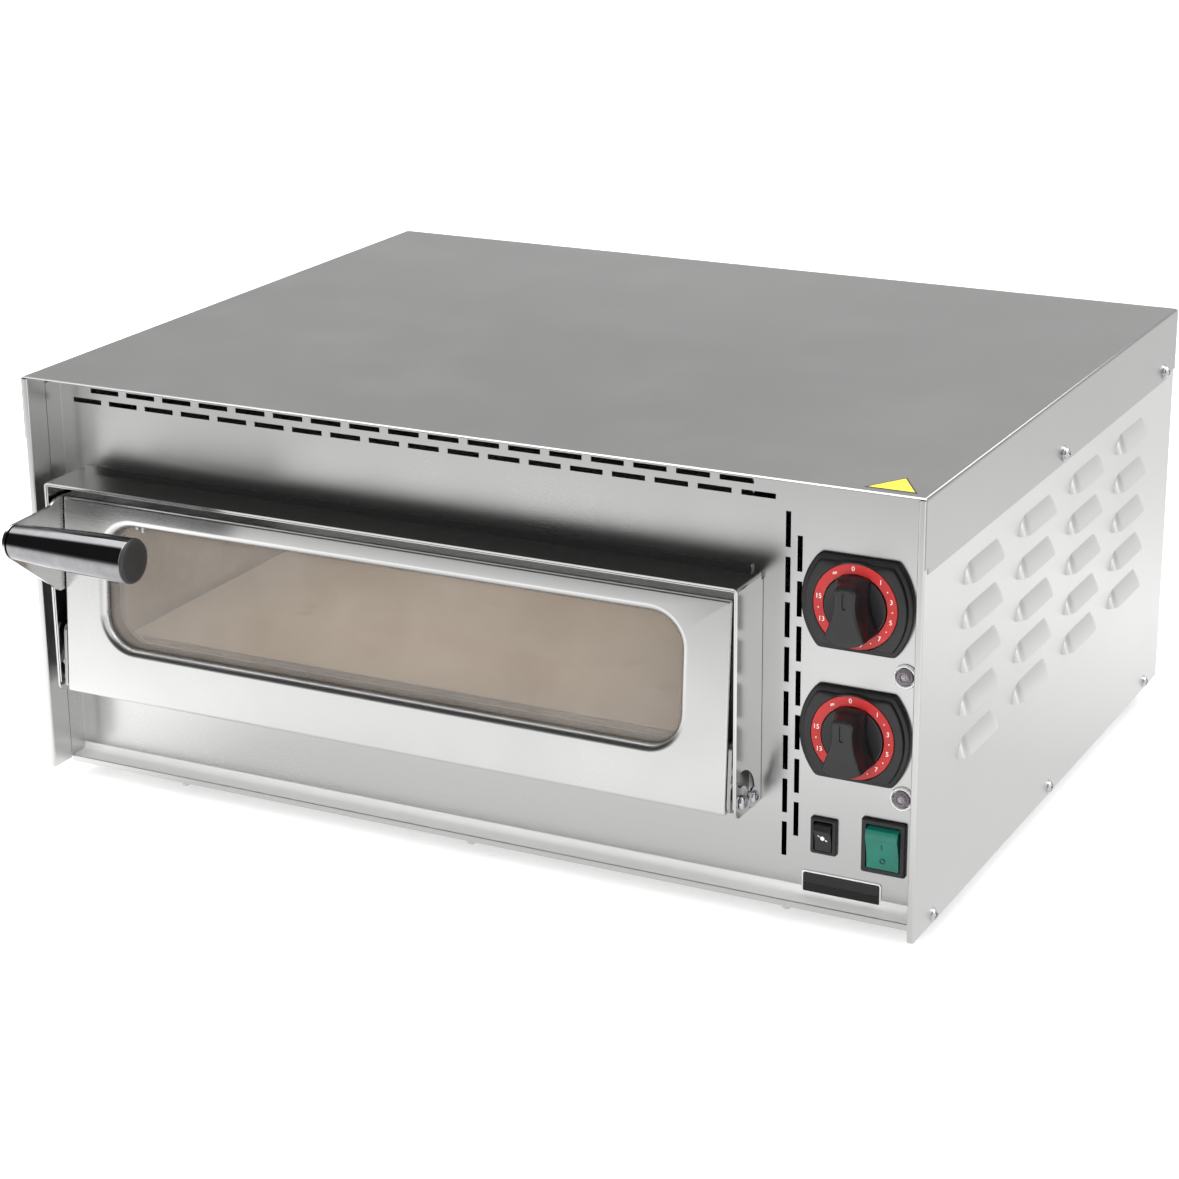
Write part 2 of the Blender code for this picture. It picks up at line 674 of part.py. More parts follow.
def cable_gland():
    profile = [
        (0.0045, GLAND_LENGTH), (0.0080, GLAND_LENGTH), (0.0100, 0.0120), (0.0120, 0.0110),
        (0.0120, 0.0004), (0.0079, 0.0004), (0.0079, -0.0120), (0.0045, -0.0120),
    ]
    where = (GLAND_X, CASE_DEPTH, GLAND_Z)
    turned("cable_gland", profile, BLACK_PLASTIC, CASING, where, OUT_BACK, steps=18)


def timer_bezel(level, z):
    """Black plate round a timer knob: flat at the top and bottom, with bowed sides."""
    cut_angle = math.asin(BEZEL_HALF_HEIGHT / BEZEL_BOW)
    shift = BEZEL_BOW - BEZEL_RADIUS
    outline = arc((-shift, 0), BEZEL_BOW, -cut_angle, cut_angle, 12)
    outline += arc((shift, 0), BEZEL_BOW, math.pi - cut_angle, math.pi + cut_angle, 12)
    outline = [(TIMER_X + u, z + v) for u, v in outline]
    hole = arc((TIMER_X, z), KNOB_RADIUS + 0.0004, 0, 2 * math.pi, 32)[:-1]
    low, high = PANEL_SETBACK - GAP - BEZEL_DEPTH, PANEL_SETBACK - GAP
    flat_plate("timer_bezel_" + level, [outline, hole], low, high, "Y", BLACK_PLASTIC)
    ring = [arc((TIMER_X, z), radius, 0, 2 * math.pi, 40)[:-1] for radius in (0.0232, 0.0176)]
    face = PANEL_SETBACK - GAP - BEZEL_DEPTH
    flat_plate("dial_ring_" + level, ring, face - 0.0011, face - 0.0003, "Y", RED_PLASTIC)


def grip_outline():
    """The knob's grip from the front, as (x, z): slim at its pointer end, flared to the other."""
    side = [(0.0080, -0.0115), (0.0076, -0.0070), (0.0066, -0.0020), (0.0062, 0.0030),
            (0.0062, 0.0125), (0.0040, 0.0148)]
    side = [(x + 0.0020 if z < -0.004 else x, z) for x, z in side]
    mirrored = [(-x, z) for x, z in reversed(side)]
    return [(0.0060, -0.0150), *side, *mirrored, (-0.0060, -0.0150)]


def timer_knob(level, z):
    """Knob with a round skirt and a tall flared grip, on a separate shaft."""
    axis = empty("knob_axis_" + level, CASING, (TIMER_X, PANEL_SETBACK, z))
    skirt = [(0.0, 0.0066), (0.0150, 0.0066), (KNOB_RADIUS, 0.0058), (KNOB_RADIUS, 0.0008),
             (0.0, 0.0008)]
    knob = turned("timer_knob_" + level, skirt, BLACK_PLASTIC, axis, (0, 0, 0), OUT_FRONT, 32)
    grip = flat_cutter("knob_grip_" + level, [grip_outline()], -GRIP_HEIGHT, -0.0060, "Y", axis)
    cut(knob, grip, "UNION")
    cut(knob, rod_cutter("knob_bore_" + level, 0.0034, (0, -0.013, 0), (0, 0.001, 0), axis, 16))
    shaft = [(0.0, 0.0126), (0.0030, 0.0126), (0.0030, -0.0120), (0.0, -0.0120)]
    turned("timer_shaft_" + level, shaft, ZINC, axis, (0, 0, 0), OUT_FRONT, 16)


def pilot_lamp(level, z):
    where = (LAMP_X, PANEL_SETBACK, z)
    rim = [
        (0.0046, 0.0022), (0.0058, 0.0022), (0.0065, 0.0012), (0.0065, 0.0004),
        (0.0052, 0.0004), (0.0052, -0.0150), (0.0046, -0.0150),
    ]
    turned("pilot_lamp_rim_" + level, rim, CHROME, CASING, where, OUT_FRONT)
    lens = [(0.0, 0.0032), (0.0030, 0.0028), (0.0042, 0.0016), (0.0042, -0.0140), (0.0, -0.0140)]
    turned("pilot_lamp_lens_" + level, lens, CLEAR_PLASTIC, CASING, where, OUT_FRONT)


def rocker_switch(name, centre_x, half_x, half_z, pocket_x, pocket_z, depth, colour):
    """A snap-in rocker switch: its housing, and a rocker that tips about X."""
    face = PANEL_SETBACK - GAP
    low = (centre_x - half_x, face - 0.0020, SWITCH_Z - half_z)
    high = (centre_x + half_x, face, SWITCH_Z + half_z)
    housing = block(name + "_housing", low, high, BLACK_PLASTIC, bevel=0.0006)
    neck_x, neck_z = half_x - 0.0018, half_z - 0.0018
    low = (centre_x - neck_x, face - 0.0010, SWITCH_Z - neck_z)
    high = (centre_x + neck_x, face + depth, SWITCH_Z + neck_z)
    cut(housing, box_cutter(name + "_body", [(low, high)]), "UNION")
    low = (centre_x - pocket_x, face - 0.0040, SWITCH_Z - pocket_z)
    high = (centre_x + pocket_x, face + depth - 0.0020, SWITCH_Z + pocket_z)
    cut(housing, box_cutter(name + "_pocket", [(low, high)]))
    pivot_depth = 0.0030
    axis = empty(name + "_axis", CASING, (centre_x, face + pivot_depth, SWITCH_Z))
    reach = pocket_z - 0.0012
    ends = pivot_depth + 0.0020 + reach * math.sin(ROCKER_TILT)
    outline = [(-ends, reach), (-ends + 0.0012, 0.0), (-ends, -reach), (0.0004, -reach)]
    outline += [(0.0050, -reach * 0.45), (0.0050, reach * 0.45), (0.0004, reach)]
    turn = math.sin(ROCKER_TILT), math.cos(ROCKER_TILT)
    outline = [(y * turn[1] - z * turn[0], y * turn[0] + z * turn[1]) for y, z in outline]
    wide = pocket_x - 0.0004
    flat_plate(name + "_rocker", [outline], -wide, wide, "X", colour, axis)


def name_plate():
    low = (0.4756, PANEL_SETBACK - GAP - 0.0008, 0.0017)
    high = (0.5210, PANEL_SETBACK - GAP, 0.0147)
    block("blank_name_plate", low, high, BLACK_PLASTIC, bevel=0.0003)


def window_outline(margin):
    """Rounded window outline in the door's (x, z), grown by margin."""
    half = WINDOW_HALF_WIDTH + margin
    bottom, top = WINDOW_BOTTOM - margin, WINDOW_TOP + margin
    return rounded_rectangle(-half, half, bottom, top, WINDOW_CORNER + margin)


def door_shells(hinge):
    low = (-DOOR_HALF_WIDTH, DOOR_FRONT, DOOR_BOTTOM)
    high = (DOOR_HALF_WIDTH, DOOR_BACK - SHEET - GAP, DOOR_TOP)
    skin = tray("door_outer_skin", low, high, (0, 1, 0), SHEET, STAINLESS, hinge)
    opening = flat_cutter("door_window", [window_outline(0.0)], DOOR_FRONT - 0.003,
                          DOOR_FRONT + 0.004, "Y", hinge)
    cut(skin, opening)
    edge = 0.0004
    outer = rounded_rectangle(-DOOR_HALF_WIDTH + edge, DOOR_HALF_WIDTH - edge, DOOR_BOTTOM + edge,
                              DOOR_TOP - edge, 0.002, 2)
    flat_plate("door_inner_skin", [outer, window_outline(0.0015)], DOOR_BACK - SHEET, DOOR_BACK,
               "Y", STAINLESS, hinge)


def door_glazing(hinge):
    front = DOOR_FRONT + SHEET + GLASS_SETBACK
    pane = window_outline(0.006)
    flat_plate("door_glass", [pane], front, front + 0.004, "Y", GLASS, hinge)
    seal = [window_outline(0.0065), window_outline(-0.001)]
    flat_plate("glass_seal", seal, front + 0.004 + GAP, front + 0.0075, "Y", SILICONE, hinge)


def guide_place():
    """Where the guide screw crosses the plate, in the door's (y, z)."""
    angle = GUIDE_ANGLE + DOOR_LEAN
    return GUIDE_RADIUS * math.cos(angle), GUIDE_RADIUS * math.sin(angle)


def hinge_hardware(hinge, side, name):
    """Hinge plate and guide screw on the door, and the pivot screw that the door turns on."""
    inner, outer = DOOR_HALF_WIDTH + GAP, DOOR_HALF_WIDTH + GAP + 0.002
    low, high = sorted((side * inner, side * outer))
    guide_y, guide_z = guide_place()
    outline = rounded_rectangle(-0.0055, 0.0185, -0.0065, 0.0330, 0.004, 3)
    holes = [arc((0, 0), 0.0030, 0, 2 * math.pi, 16)[:-1]]
    holes.append(arc((guide_y, guide_z), 0.0028, 0, 2 * math.pi, 16)[:-1])
    flat_plate("hinge_plate_" + name, [outline, *holes], low, high, "X", STAINLESS, hinge)
    plate_face = (SHROUD_RIGHT - SHROUD_LEFT) / 2 + GAP
    shank_end = inner + 0.0002
    rotation = OUT_RIGHT if side > 0 else OUT_LEFT
    guide = [
        (0.0, plate_face + 0.0036), (0.0030, plate_face + 0.0034), (0.0042, plate_face + 0.0012),
        (0.0058, plate_face + 0.0012), (0.0058, plate_face), (0.0025, plate_face),
        (0.0025, shank_end), (0.0, shank_end),
    ]
    turned("guide_screw_" + name, guide, ZINC, hinge, (0, guide_y, guide_z), rotation, 16)
    pivot = [
        (0.0, plate_face + 0.0026), (0.0026, plate_face + 0.0023), (0.0040, plate_face),
        (0.0026, plate_face), (0.0026, shank_end), (0.0, shank_end),
    ]
    centre = (SHROUD_LEFT + SHROUD_RIGHT) / 2
    turned("pivot_screw_" + name, pivot, ZINC, CASING, (centre, PIVOT_Y, PIVOT_Z), rotation, 16)


def handle(hinge):
    """Bracket plate beside the door's left edge, and a barrel handle screwed to it by its left end."""
    inner = -DOOR_HALF_WIDTH - GAP
    outer = inner - BRACKET_THICKNESS
    axis_start = (HANDLE_LEFT, HANDLE_Y, HANDLE_Z)
    nose_ends = math.radians(95.5), math.radians(236.8)
    nose = arc((HANDLE_Y, HANDLE_Z), HANDLE_SMALL_RADIUS, *nose_ends, 12)
    outline = [(0.0130, 0.1110), (-0.0085, 0.1110), (-0.0130, 0.1100), (-0.0168, 0.1070), *nose,
               (-0.0110, 0.0548), (0.0130, 0.0548)]
    bracket = flat_plate("handle_bracket", [outline], outer, inner, "X", STAINLESS, hinge)
    hole = ((outer - GAP, HANDLE_Y, HANDLE_Z), (inner + GAP, HANDLE_Y, HANDLE_Z))
    cut(bracket, rod_cutter("bracket_hole", HANDLE_SCREW_RADIUS + GAP, *hole, hinge, 16))
    length = HANDLE_RIGHT - HANDLE_LEFT
    rise = HANDLE_LARGE_RADIUS - HANDLE_SMALL_RADIUS
    profile = [(0.0, length)]
    for i in range(7):
        part = 1.0 - i / 6
        swell = rise * math.sin(part * math.pi / 2)
        profile.append((HANDLE_SMALL_RADIUS + swell, length * part))
    profile.append((0.0, 0.0))
    barrel = turned("handle_barrel", profile, CHROME, hinge, axis_start, OUT_RIGHT)
    ends = ((HANDLE_RIGHT - 0.012, 0.0064, HANDLE_RIGHT + 0.001),
            (HANDLE_LEFT - 0.001, HANDLE_SCREW_RADIUS + GAP, HANDLE_LEFT + 0.013))
    for i, (start, radius, end) in enumerate(ends):
        path = (start, HANDLE_Y, HANDLE_Z), (end, HANDLE_Y, HANDLE_Z)
        cut(barrel, rod_cutter(f"handle_bore_{i}", radius, *path, hinge, 16))
    cap = [(0.0, 0.0026), (0.0110, 0.0022), (HANDLE_LARGE_RADIUS, 0.0010),
           (HANDLE_LARGE_RADIUS, GAP), (0.0060, GAP), (0.0060, -0.0110), (0.0, -0.0110)]
    turned("handle_end_cap", cap, BLACK_PLASTIC, hinge, (HANDLE_RIGHT, HANDLE_Y, HANDLE_Z), OUT_RIGHT)
    screw = [(0.0, 0.0024), (0.0030, 0.0020), (0.0050, 0.0010), (0.0050, GAP), (HANDLE_SCREW_RADIUS, GAP),
             (HANDLE_SCREW_RADIUS, -0.0140), (0.0, -0.0140)]
    turned("handle_screw", screw, ZINC, hinge, (outer, HANDLE_Y, HANDLE_Z), OUT_LEFT)


SERVICE_HOLES = service_holes()

top_cover()
side_panel("side_panel_left", -1)
side_panel("side_panel_right", 1)
front_panel()
rear_panel()
base_tray()
door_shroud()
chamber()
front_sill()
stone_and_support()
for level_name, height in ELEMENT_HEIGHTS.items():
    tube(level_name + "_heating_element", element_path(height), ELEMENT_RADIUS, DARK_STEEL)
insulation()
partition_plate()
chamber_lamp()
feet()
electrics()
cable_gland()
for level_name, height in TIMER_HEIGHTS.items():
    timer_bezel(level_name, height)
    timer_knob(level_name, height)
for level_name, height in LAMP_HEIGHTS.items():
    pilot_lamp(level_name, height)
rocker_switch("main_switch", MAIN_SWITCH_X, 0.0125, 0.0155, 0.0095, 0.01225, 0.022, GREEN_PLASTIC)
rocker_switch("light_switch", LIGHT_SWITCH_X, 0.0075, 0.0105, 0.0052, 0.0083, 0.018, BLACK_PLASTIC)
name_plate()

SHROUD_MIDDLE = (SHROUD_LEFT + SHROUD_RIGHT) / 2
HINGE = empty("door_hinge_axis", CASING, (SHROUD_MIDDLE, PIVOT_Y, PIVOT_Z), (-DOOR_LEAN, 0, 0))
door_shells(HINGE)
door_glazing(HINGE)
hinge_hardware(HINGE, -1, "left")
hinge_hardware(HINGE, 1, "right")
handle(HINGE)
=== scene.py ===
"""Looks of the countertop pizza oven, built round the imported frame.

Casing pieces are laid out from the casing's front, left, lower corner: X right, Y back, Z up.
Pieces that move are laid out from a point on their own joint axis. All lengths are in metres.
"""

import json
import math

import bmesh
import bpy
from mathutils import Matrix, Vector


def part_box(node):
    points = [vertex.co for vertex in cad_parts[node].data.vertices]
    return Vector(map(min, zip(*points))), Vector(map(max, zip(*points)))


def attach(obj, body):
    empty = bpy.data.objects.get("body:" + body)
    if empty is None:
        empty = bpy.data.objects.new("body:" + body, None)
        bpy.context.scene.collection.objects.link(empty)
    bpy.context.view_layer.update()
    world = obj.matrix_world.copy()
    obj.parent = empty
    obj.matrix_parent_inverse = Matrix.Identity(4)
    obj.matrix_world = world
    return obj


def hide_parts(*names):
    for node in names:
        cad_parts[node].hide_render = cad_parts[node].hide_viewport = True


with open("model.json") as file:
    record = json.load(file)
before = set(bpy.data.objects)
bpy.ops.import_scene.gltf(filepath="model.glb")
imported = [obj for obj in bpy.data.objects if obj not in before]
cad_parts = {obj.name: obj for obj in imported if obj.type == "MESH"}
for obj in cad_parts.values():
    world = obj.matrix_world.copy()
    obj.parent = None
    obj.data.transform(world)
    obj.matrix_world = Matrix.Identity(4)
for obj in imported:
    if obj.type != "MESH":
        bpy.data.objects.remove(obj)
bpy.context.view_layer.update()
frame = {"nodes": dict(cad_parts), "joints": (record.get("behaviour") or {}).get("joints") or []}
SCENE = bpy.context.scene

CORNER = Vector((*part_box("top_cover")[0].xy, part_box("base_tray")[0].z))
JOINTS = {joint["name"]: Vector(joint["pos_m"]) for joint in frame["joints"]}
CASE = Matrix.Translation(CORNER)
DOOR_LEAN = math.radians(4.0)
DOOR = Matrix.Translation(JOINTS["door_hinge"]) @ Matrix.Rotation(-DOOR_LEAN, 4, "X")
OUT_FRONT = Matrix.Rotation(math.pi / 2, 4, "X")
OUT_BACK = Matrix.Rotation(-math.pi / 2, 4, "X")
OUT_RIGHT = Matrix.Rotation(math.pi / 2, 4, "Y")
OUT_LEFT = Matrix.Rotation(-math.pi / 2, 4, "Y")
OUT_DOWN = Matrix.Rotation(math.pi, 4, "X")
STILL = Matrix.Identity(4)

SHEET = 0.001
GRAIN_MAP = "grain"

# The body, place and material slot of a steel piece on the casing, and of one on the door.
CASING_SHEET = ("casing", CASE, "brushed_stainless")
DOOR_SHEET = ("door", DOOR, "brushed_stainless")


def cad(node):
    """A node's lowest and highest corners, from the casing's corner."""
    low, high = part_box(node)
    return low - CORNER, high - CORNER


# ---------------------------------------------------------------- materials


class Nodes:
    """The node tree of a material or the world, with short calls for its nodes."""

    def __init__(self, owner, shader="Principled BSDF"):
        owner.use_nodes = True
        self.owner = owner
        self.tree = owner.node_tree
        self.shader = self.tree.nodes[shader]

    def feed(self, sockets, values):
        """Links each value that is an output to its socket, and sets the others as constants."""
        for socket, value in zip(sockets, values):
            if isinstance(value, bpy.types.NodeSocket):
                self.tree.links.new(value, socket)
            else:
                socket.default_value = value

    def give(self, node, inputs):
        self.feed([node.inputs[key.replace("_", " ")] for key in inputs], inputs.values())

    def node(self, kind, **inputs):
        node = self.tree.nodes.new(kind)
        self.give(node, inputs)
        return node

    def coords(self, stretch=(1, 1, 1), grain=False):
        if grain:
            source = self.tree.nodes.new("ShaderNodeUVMap")
            source.uv_map = GRAIN_MAP
            vector = source.outputs["UV"]
        else:
            vector = self.tree.nodes.new("ShaderNodeTexCoord").outputs["Object"]
        return self.node("ShaderNodeMapping", Vector=vector, Scale=stretch).outputs["Vector"]

    def noise(self, vector, scale, detail=2.0, roughness=0.5):
        node = self.node("ShaderNodeTexNoise", Vector=vector, Scale=scale, Detail=detail,
                         Roughness=roughness)
        return node.outputs["Fac"]

    def span(self, value, low, high, to_low, to_high):
        node = self.node("ShaderNodeMapRange", Value=value, From_Min=low, From_Max=high,
                         To_Min=to_low, To_Max=to_high)
        return node.outputs["Result"]

    def ramp(self, value, stops, interpolation="LINEAR"):
        node = self.node("ShaderNodeValToRGB", Fac=value)
        node.color_ramp.interpolation = interpolation
        elements = node.color_ramp.elements
        while len(elements) < len(stops):
            elements.new(0.5)
        for element, (position, colour) in zip(elements, stops):
            element.position = position
            element.color = (*colour, 1.0)
        return node.outputs["Color"]

    def maths(self, operation, first, second):
        node = self.tree.nodes.new("ShaderNodeMath")
        node.operation = operation
        self.feed(node.inputs, (first, second))
        return node.outputs["Value"]

    def bump(self, height, strength, distance):
        node = self.node("ShaderNodeBump", Height=height, Strength=strength, Distance=distance)
        return node.outputs["Normal"]

    def mixed(self, share, first, second):
        """The first shader where share is 0, and the second where it is 1."""
        node = self.tree.nodes.new("ShaderNodeMixShader")
        self.feed(node.inputs, (share, first, second))
        return node.outputs["Shader"]

    def finish(self, shader):
        self.feed([self.tree.nodes["Material Output"].inputs["Surface"]], [shader])

    def set(self, **inputs):
        self.give(self.shader, inputs)
        return self.owner


def new_material(name):
    return Nodes(bpy.data.materials.new(name))


def grey(level):
    return (level, level, level * 0.99)


def brushed_steel(name, tone, rough, anisotropy=0.5):
    """Stainless sheet with fine lines along the grain, faint handling marks and slow tone changes."""
    m = new_material(name)
    fine = m.noise(m.coords((14, 2600, 1), grain=True), 1.0, 3.0, 0.65)
    coarse = m.noise(m.coords((3, 420, 1), grain=True), 1.0, 2.0)
    smudge = m.noise(m.coords(), 17.0, 4.0, 0.6)
    slow = m.noise(m.coords(), 3.5, 1.0)
    lines = m.maths("ADD", m.maths("MULTIPLY", fine, 0.65), m.maths("MULTIPLY", coarse, 0.35))
    tones = [(0.25, [c * 0.975 for c in tone]), (0.5, tone), (0.78, [min(c * 1.02, 1) for c in tone])]
    base = m.ramp(lines, tones)
    marks = m.span(smudge, 0.45, 0.75, 0.0, 0.025)
    roughness = m.maths("ADD", m.span(lines, 0.3, 0.7, rough - 0.010, rough + 0.010), marks)
    roughness = m.maths("ADD", roughness, m.span(slow, 0.3, 0.7, -0.012, 0.012))
    normal = m.bump(fine, 0.004, 0.00002)
    tangent = m.tree.nodes.new("ShaderNodeTangent")
    tangent.direction_type = "UV_MAP"
    tangent.uv_map = GRAIN_MAP
    return m.set(Base_Color=base, Metallic=1.0, Roughness=roughness, Normal=normal,
                 Anisotropic=anisotropy, Anisotropic_Rotation=0.25,
                 Tangent=tangent.outputs["Tangent"])


def metal(name, tone, rough, spread, scale, bump):
    """Plain metal with a mottled finish."""
    m = new_material(name)
    mottle = m.noise(m.coords(), scale, 4.0, 0.6)
    wear = m.noise(m.coords(), scale * 0.13, 2.0)
    base = m.ramp(mottle, [(0.3, [c * 0.86 for c in tone]), (0.7, [min(c * 1.08, 1) for c in tone])])
    roughness = m.maths("ADD", m.span(mottle, 0.3, 0.7, rough - spread / 2, rough + spread / 2),
                        m.span(wear, 0.35, 0.7, 0.0, spread))
    normal = m.bump(mottle, bump, 0.0001)
    return m.set(Base_Color=base, Metallic=1.0, Roughness=roughness, Normal=normal)


def plastic(name, tone, rough, grain_scale=2600.0, bump=0.10, light=1.25, specular=0.5):
    """Moulded plastic with a fine spark-eroded grain and slight polish where it is handled."""
    m = new_material(name)
    grain = m.noise(m.coords(), grain_scale, 2.0, 0.6)
    handled = m.noise(m.coords(), 45.0, 3.0)
    base = m.ramp(handled, [(0.3, tone), (0.75, [min(c * light, 1) for c in tone])])
    roughness = m.maths("ADD", m.span(handled, 0.3, 0.7, rough + 0.04, rough - 0.04),
                        m.span(grain, 0.3, 0.7, -0.03, 0.03))
    normal = m.bump(grain, bump, 0.00003)
    return m.set(Base_Color=base, Roughness=roughness, Normal=normal,
                 Specular_IOR_Level=specular)


def cordierite(name):
    """Baked stone: sandy speckle, soft dark patches from use, and a fine rough surface."""
    m = new_material(name)
    speckle = m.noise(m.coords(), 900.0, 3.0, 0.7)
    patch = m.noise(m.coords(), 9.0, 4.0, 0.55)
    stain = m.noise(m.coords(), 26.0, 3.0, 0.6)
    sand = m.ramp(speckle, [(0.3, (0.45, 0.40, 0.34)), (0.7, (0.62, 0.56, 0.49))])
    brown = m.ramp(patch, [(0.42, (1.0, 1.0, 1.0)), (0.72, (0.86, 0.80, 0.72))])
    spots = m.ramp(stain, [(0.62, (1.0, 1.0, 1.0)), (0.76, (0.80, 0.72, 0.62))])
    mixed = sand
    for layer in (brown, spots):
        mix = m.tree.nodes.new("ShaderNodeMix")
        mix.data_type = "RGBA"
        mix.blend_type = "MULTIPLY"
        factor, first, second = mix.inputs["Factor"], mix.inputs[6], mix.inputs[7]
        m.feed((factor, first, second), (1.0, mixed, layer))
        mixed = mix.outputs[2]
    normal = m.bump(speckle, 0.35, 0.0002)
    return m.set(Base_Color=mixed, Roughness=0.88, Normal=normal)


def wool(name):
    """Pale blanket fibres."""
    m = new_material(name)
    fibre = m.noise(m.coords((1, 1, 5)), 420.0, 5.0, 0.7)
    base = m.ramp(fibre, [(0.3, (0.34, 0.31, 0.22)), (0.7, (0.62, 0.58, 0.46))])
    return m.set(Base_Color=base, Roughness=0.96, Normal=m.bump(fibre, 0.8, 0.0006))


def clear_sheet(name, tint, haze):
    """Glass as a sheet: light passes with a tint, and it mirrors more at a slant."""
    m = new_material(name)
    film = m.noise(m.coords(), 14.0, 3.0, 0.6)
    roughness = m.span(film, 0.3, 0.8, 0.02, 0.05)
    pass_through = m.node("ShaderNodeBsdfTransparent", Color=(*tint, 1.0)).outputs["BSDF"]
    mirror = m.node("ShaderNodeBsdfGlossy", Roughness=roughness).outputs["BSDF"]
    dust = m.node("ShaderNodeBsdfDiffuse", Color=(0.66, 0.60, 0.54, 1.0)).outputs["BSDF"]
    slant = m.node("ShaderNodeFresnel", IOR=1.45).outputs["Fac"]
    hazy = m.mixed(m.span(film, 0.35, 0.8, haze * 0.5, haze), pass_through, dust)
    m.finish(m.mixed(slant, hazy, mirror))
    m.tree.nodes.remove(m.shader)
    return m.owner


# The cover is a darker copy of the side and front stainless: its low tone is painted shade on the top.
SHADED_COVER_STEEL = brushed_steel("cover_brushed_stainless_painted_shade", grey(0.49), 0.32)
SIDE_STEEL = brushed_steel("side_brushed_stainless", grey(0.72), 0.34)
PANEL_STEEL = brushed_steel("panel_brushed_stainless", grey(0.66), 0.28)
# The steel ledge at the panel's foot is given a pale non-metal colour: a painted reflection of the bright
# floor in place of the steel's own reflections.
LEDGE_PAINTED_REFLECTION = plastic("pale_ledge_painted_reflection", (0.76, 0.76, 0.75), 0.42, bump=0.02, light=1.0)
HOOD_STEEL = brushed_steel("hood_brushed_stainless", grey(0.62), 0.18, anisotropy=0.4)
DOOR_STEEL = brushed_steel("door_brushed_stainless", grey(0.72), 0.28)
INNER_STEEL = brushed_steel("inner_brushed_stainless", grey(0.50), 0.34)
# Its tone is far below chrome's own: painted shade that darkens the handle barrel's reflections all over, set
# for its dim lower half.
SHADED_CHROME = metal("polished_chrome_painted_shade", (0.28, 0.28, 0.29), 0.05, 0.02, 90.0, 0.004)
ZINC = metal("zinc_plated_steel_face", (0.66, 0.67, 0.69), 0.24, 0.08, 240.0, 0.03)
LINER = metal("chamber_aluminised_steel", (0.60, 0.55, 0.50), 0.42, 0.12, 130.0, 0.04)
DARK_LINER = metal("heat_darkened_sill", (0.22, 0.19, 0.16), 0.50, 0.12, 130.0, 0.04)
ELEMENT = metal("heating_element_sheath", (0.20, 0.17, 0.15), 0.50, 0.14, 300.0, 0.06)
BLACK = plastic("moulded_black_plastic", (0.013, 0.013, 0.014), 0.36)
KNOB_BLACK = plastic("satin_black_knob", (0.013, 0.013, 0.014), 0.33)
GLOSS_BLACK = plastic("gloss_black_plate", (0.006, 0.006, 0.007), 0.10, bump=0.02)
CAP_BLACK = plastic("handle_cap_black", (0.020, 0.020, 0.021), 0.45)
RED = plastic("red_dial_print", (0.42, 0.016, 0.015), 0.42, bump=0.04)
WHITE_PRINT = plastic("white_dial_print", (0.82, 0.82, 0.80), 0.50, bump=0.03, light=1.1)
LENS_GREY = plastic("smoked_lens", (0.13, 0.115, 0.125), 0.12, bump=0.02, light=1.5)
LENS_CORE = plastic("lens_core", (0.30, 0.28, 0.30), 0.10, bump=0.02, light=1.3)
CLEAR_RIM = plastic("clear_lens_rim", (0.70, 0.70, 0.70), 0.10, bump=0.02, light=1.2)
GREEN = plastic("green_rocker_lens", (0.008, 0.125, 0.090), 0.24, bump=0.03, light=1.5)
GREEN_DARK = plastic("green_rocker_mark", (0.004, 0.060, 0.042), 0.30, bump=0.02)
SILVER_PRINT = plastic("silver_plate_border", (0.72, 0.72, 0.72), 0.34, bump=0.02, light=1.1)
YELLOW = plastic("yellow_sticker", (0.82, 0.60, 0.04), 0.42, bump=0.03, light=1.1)
BLACK_PRINT = plastic("black_print", (0.03, 0.03, 0.03), 0.45, bump=0.02)
RUBBER = plastic("foot_rubber", (0.020, 0.020, 0.020), 0.78, 1400.0, 0.30)
SILICONE = plastic("window_seal_silicone", (0.15, 0.12, 0.10), 0.60, 1500.0, 0.10)
CERAMIC = plastic("glazed_ceramic", (0.72, 0.69, 0.62), 0.35, 900.0, 0.05, 1.1)
STONE = cordierite("baked_cordierite")
WOOL = wool("mineral_wool_fibre")
GLASS = clear_sheet("door_window_glass", (0.91, 0.87, 0.82), 0.20)
LAMP_GLASS = clear_sheet("lamp_cover_glass", (0.93, 0.92, 0.88), 0.03)


# ---------------------------------------------------------------- geometry


def lay_grain(mesh, along):
    """A map in metres whose first axis runs with the sheet's brushed lines."""
    layer = mesh.uv_layers.get(GRAIN_MAP) or mesh.uv_layers.new(name=GRAIN_MAP)
    others = [axis for axis in range(3) if axis != along]
    for face in mesh.polygons:
        normal = face.normal
        facing = max(range(3), key=lambda axis: abs(normal[axis]))
        if facing == along:
            first, second = others
        else:
            first, second = along, next(axis for axis in others if axis != facing)
        for loop in face.loop_indices:
            point = mesh.vertices[mesh.loops[loop].vertex_index].co
            layer.data[loop].uv = (point[first], point[second])


def placed(name, data, pose=STILL):
    """A new object in the scene."""
    obj = bpy.data.objects.new(name, data)
    SCENE.collection.objects.link(obj)
    obj.matrix_world = pose
    return obj


def final_mesh(obj):
    """The object's shape with its modifiers applied; the object is removed."""
    graph = bpy.context.evaluated_depsgraph_get()
    mesh = bpy.data.meshes.new_from_object(obj.evaluated_get(graph))
    bpy.data.objects.remove(obj, do_unlink=True)
    return mesh


def filled(curve):
    """The curve's filled shape as a mesh; the curve is removed."""
    mesh = final_mesh(placed(curve.name, curve))
    bpy.data.curves.remove(curve)
    return mesh


def thickened(mesh, thickness):
    """A sheet made from a skin, its thickness on the inner side."""
    obj = placed("skin", mesh)
    shell = obj.modifiers.new("sheet", "SOLIDIFY")
    shell.thickness = thickness
    shell.offset = -1.0
    return final_mesh(obj)


def shaded(mesh, sharp_angle, grain):
    mesh.shade_smooth()
    mesh.set_sharp_from_angle(angle=math.radians(sharp_angle))
    lay_grain(mesh, grain)
    return mesh


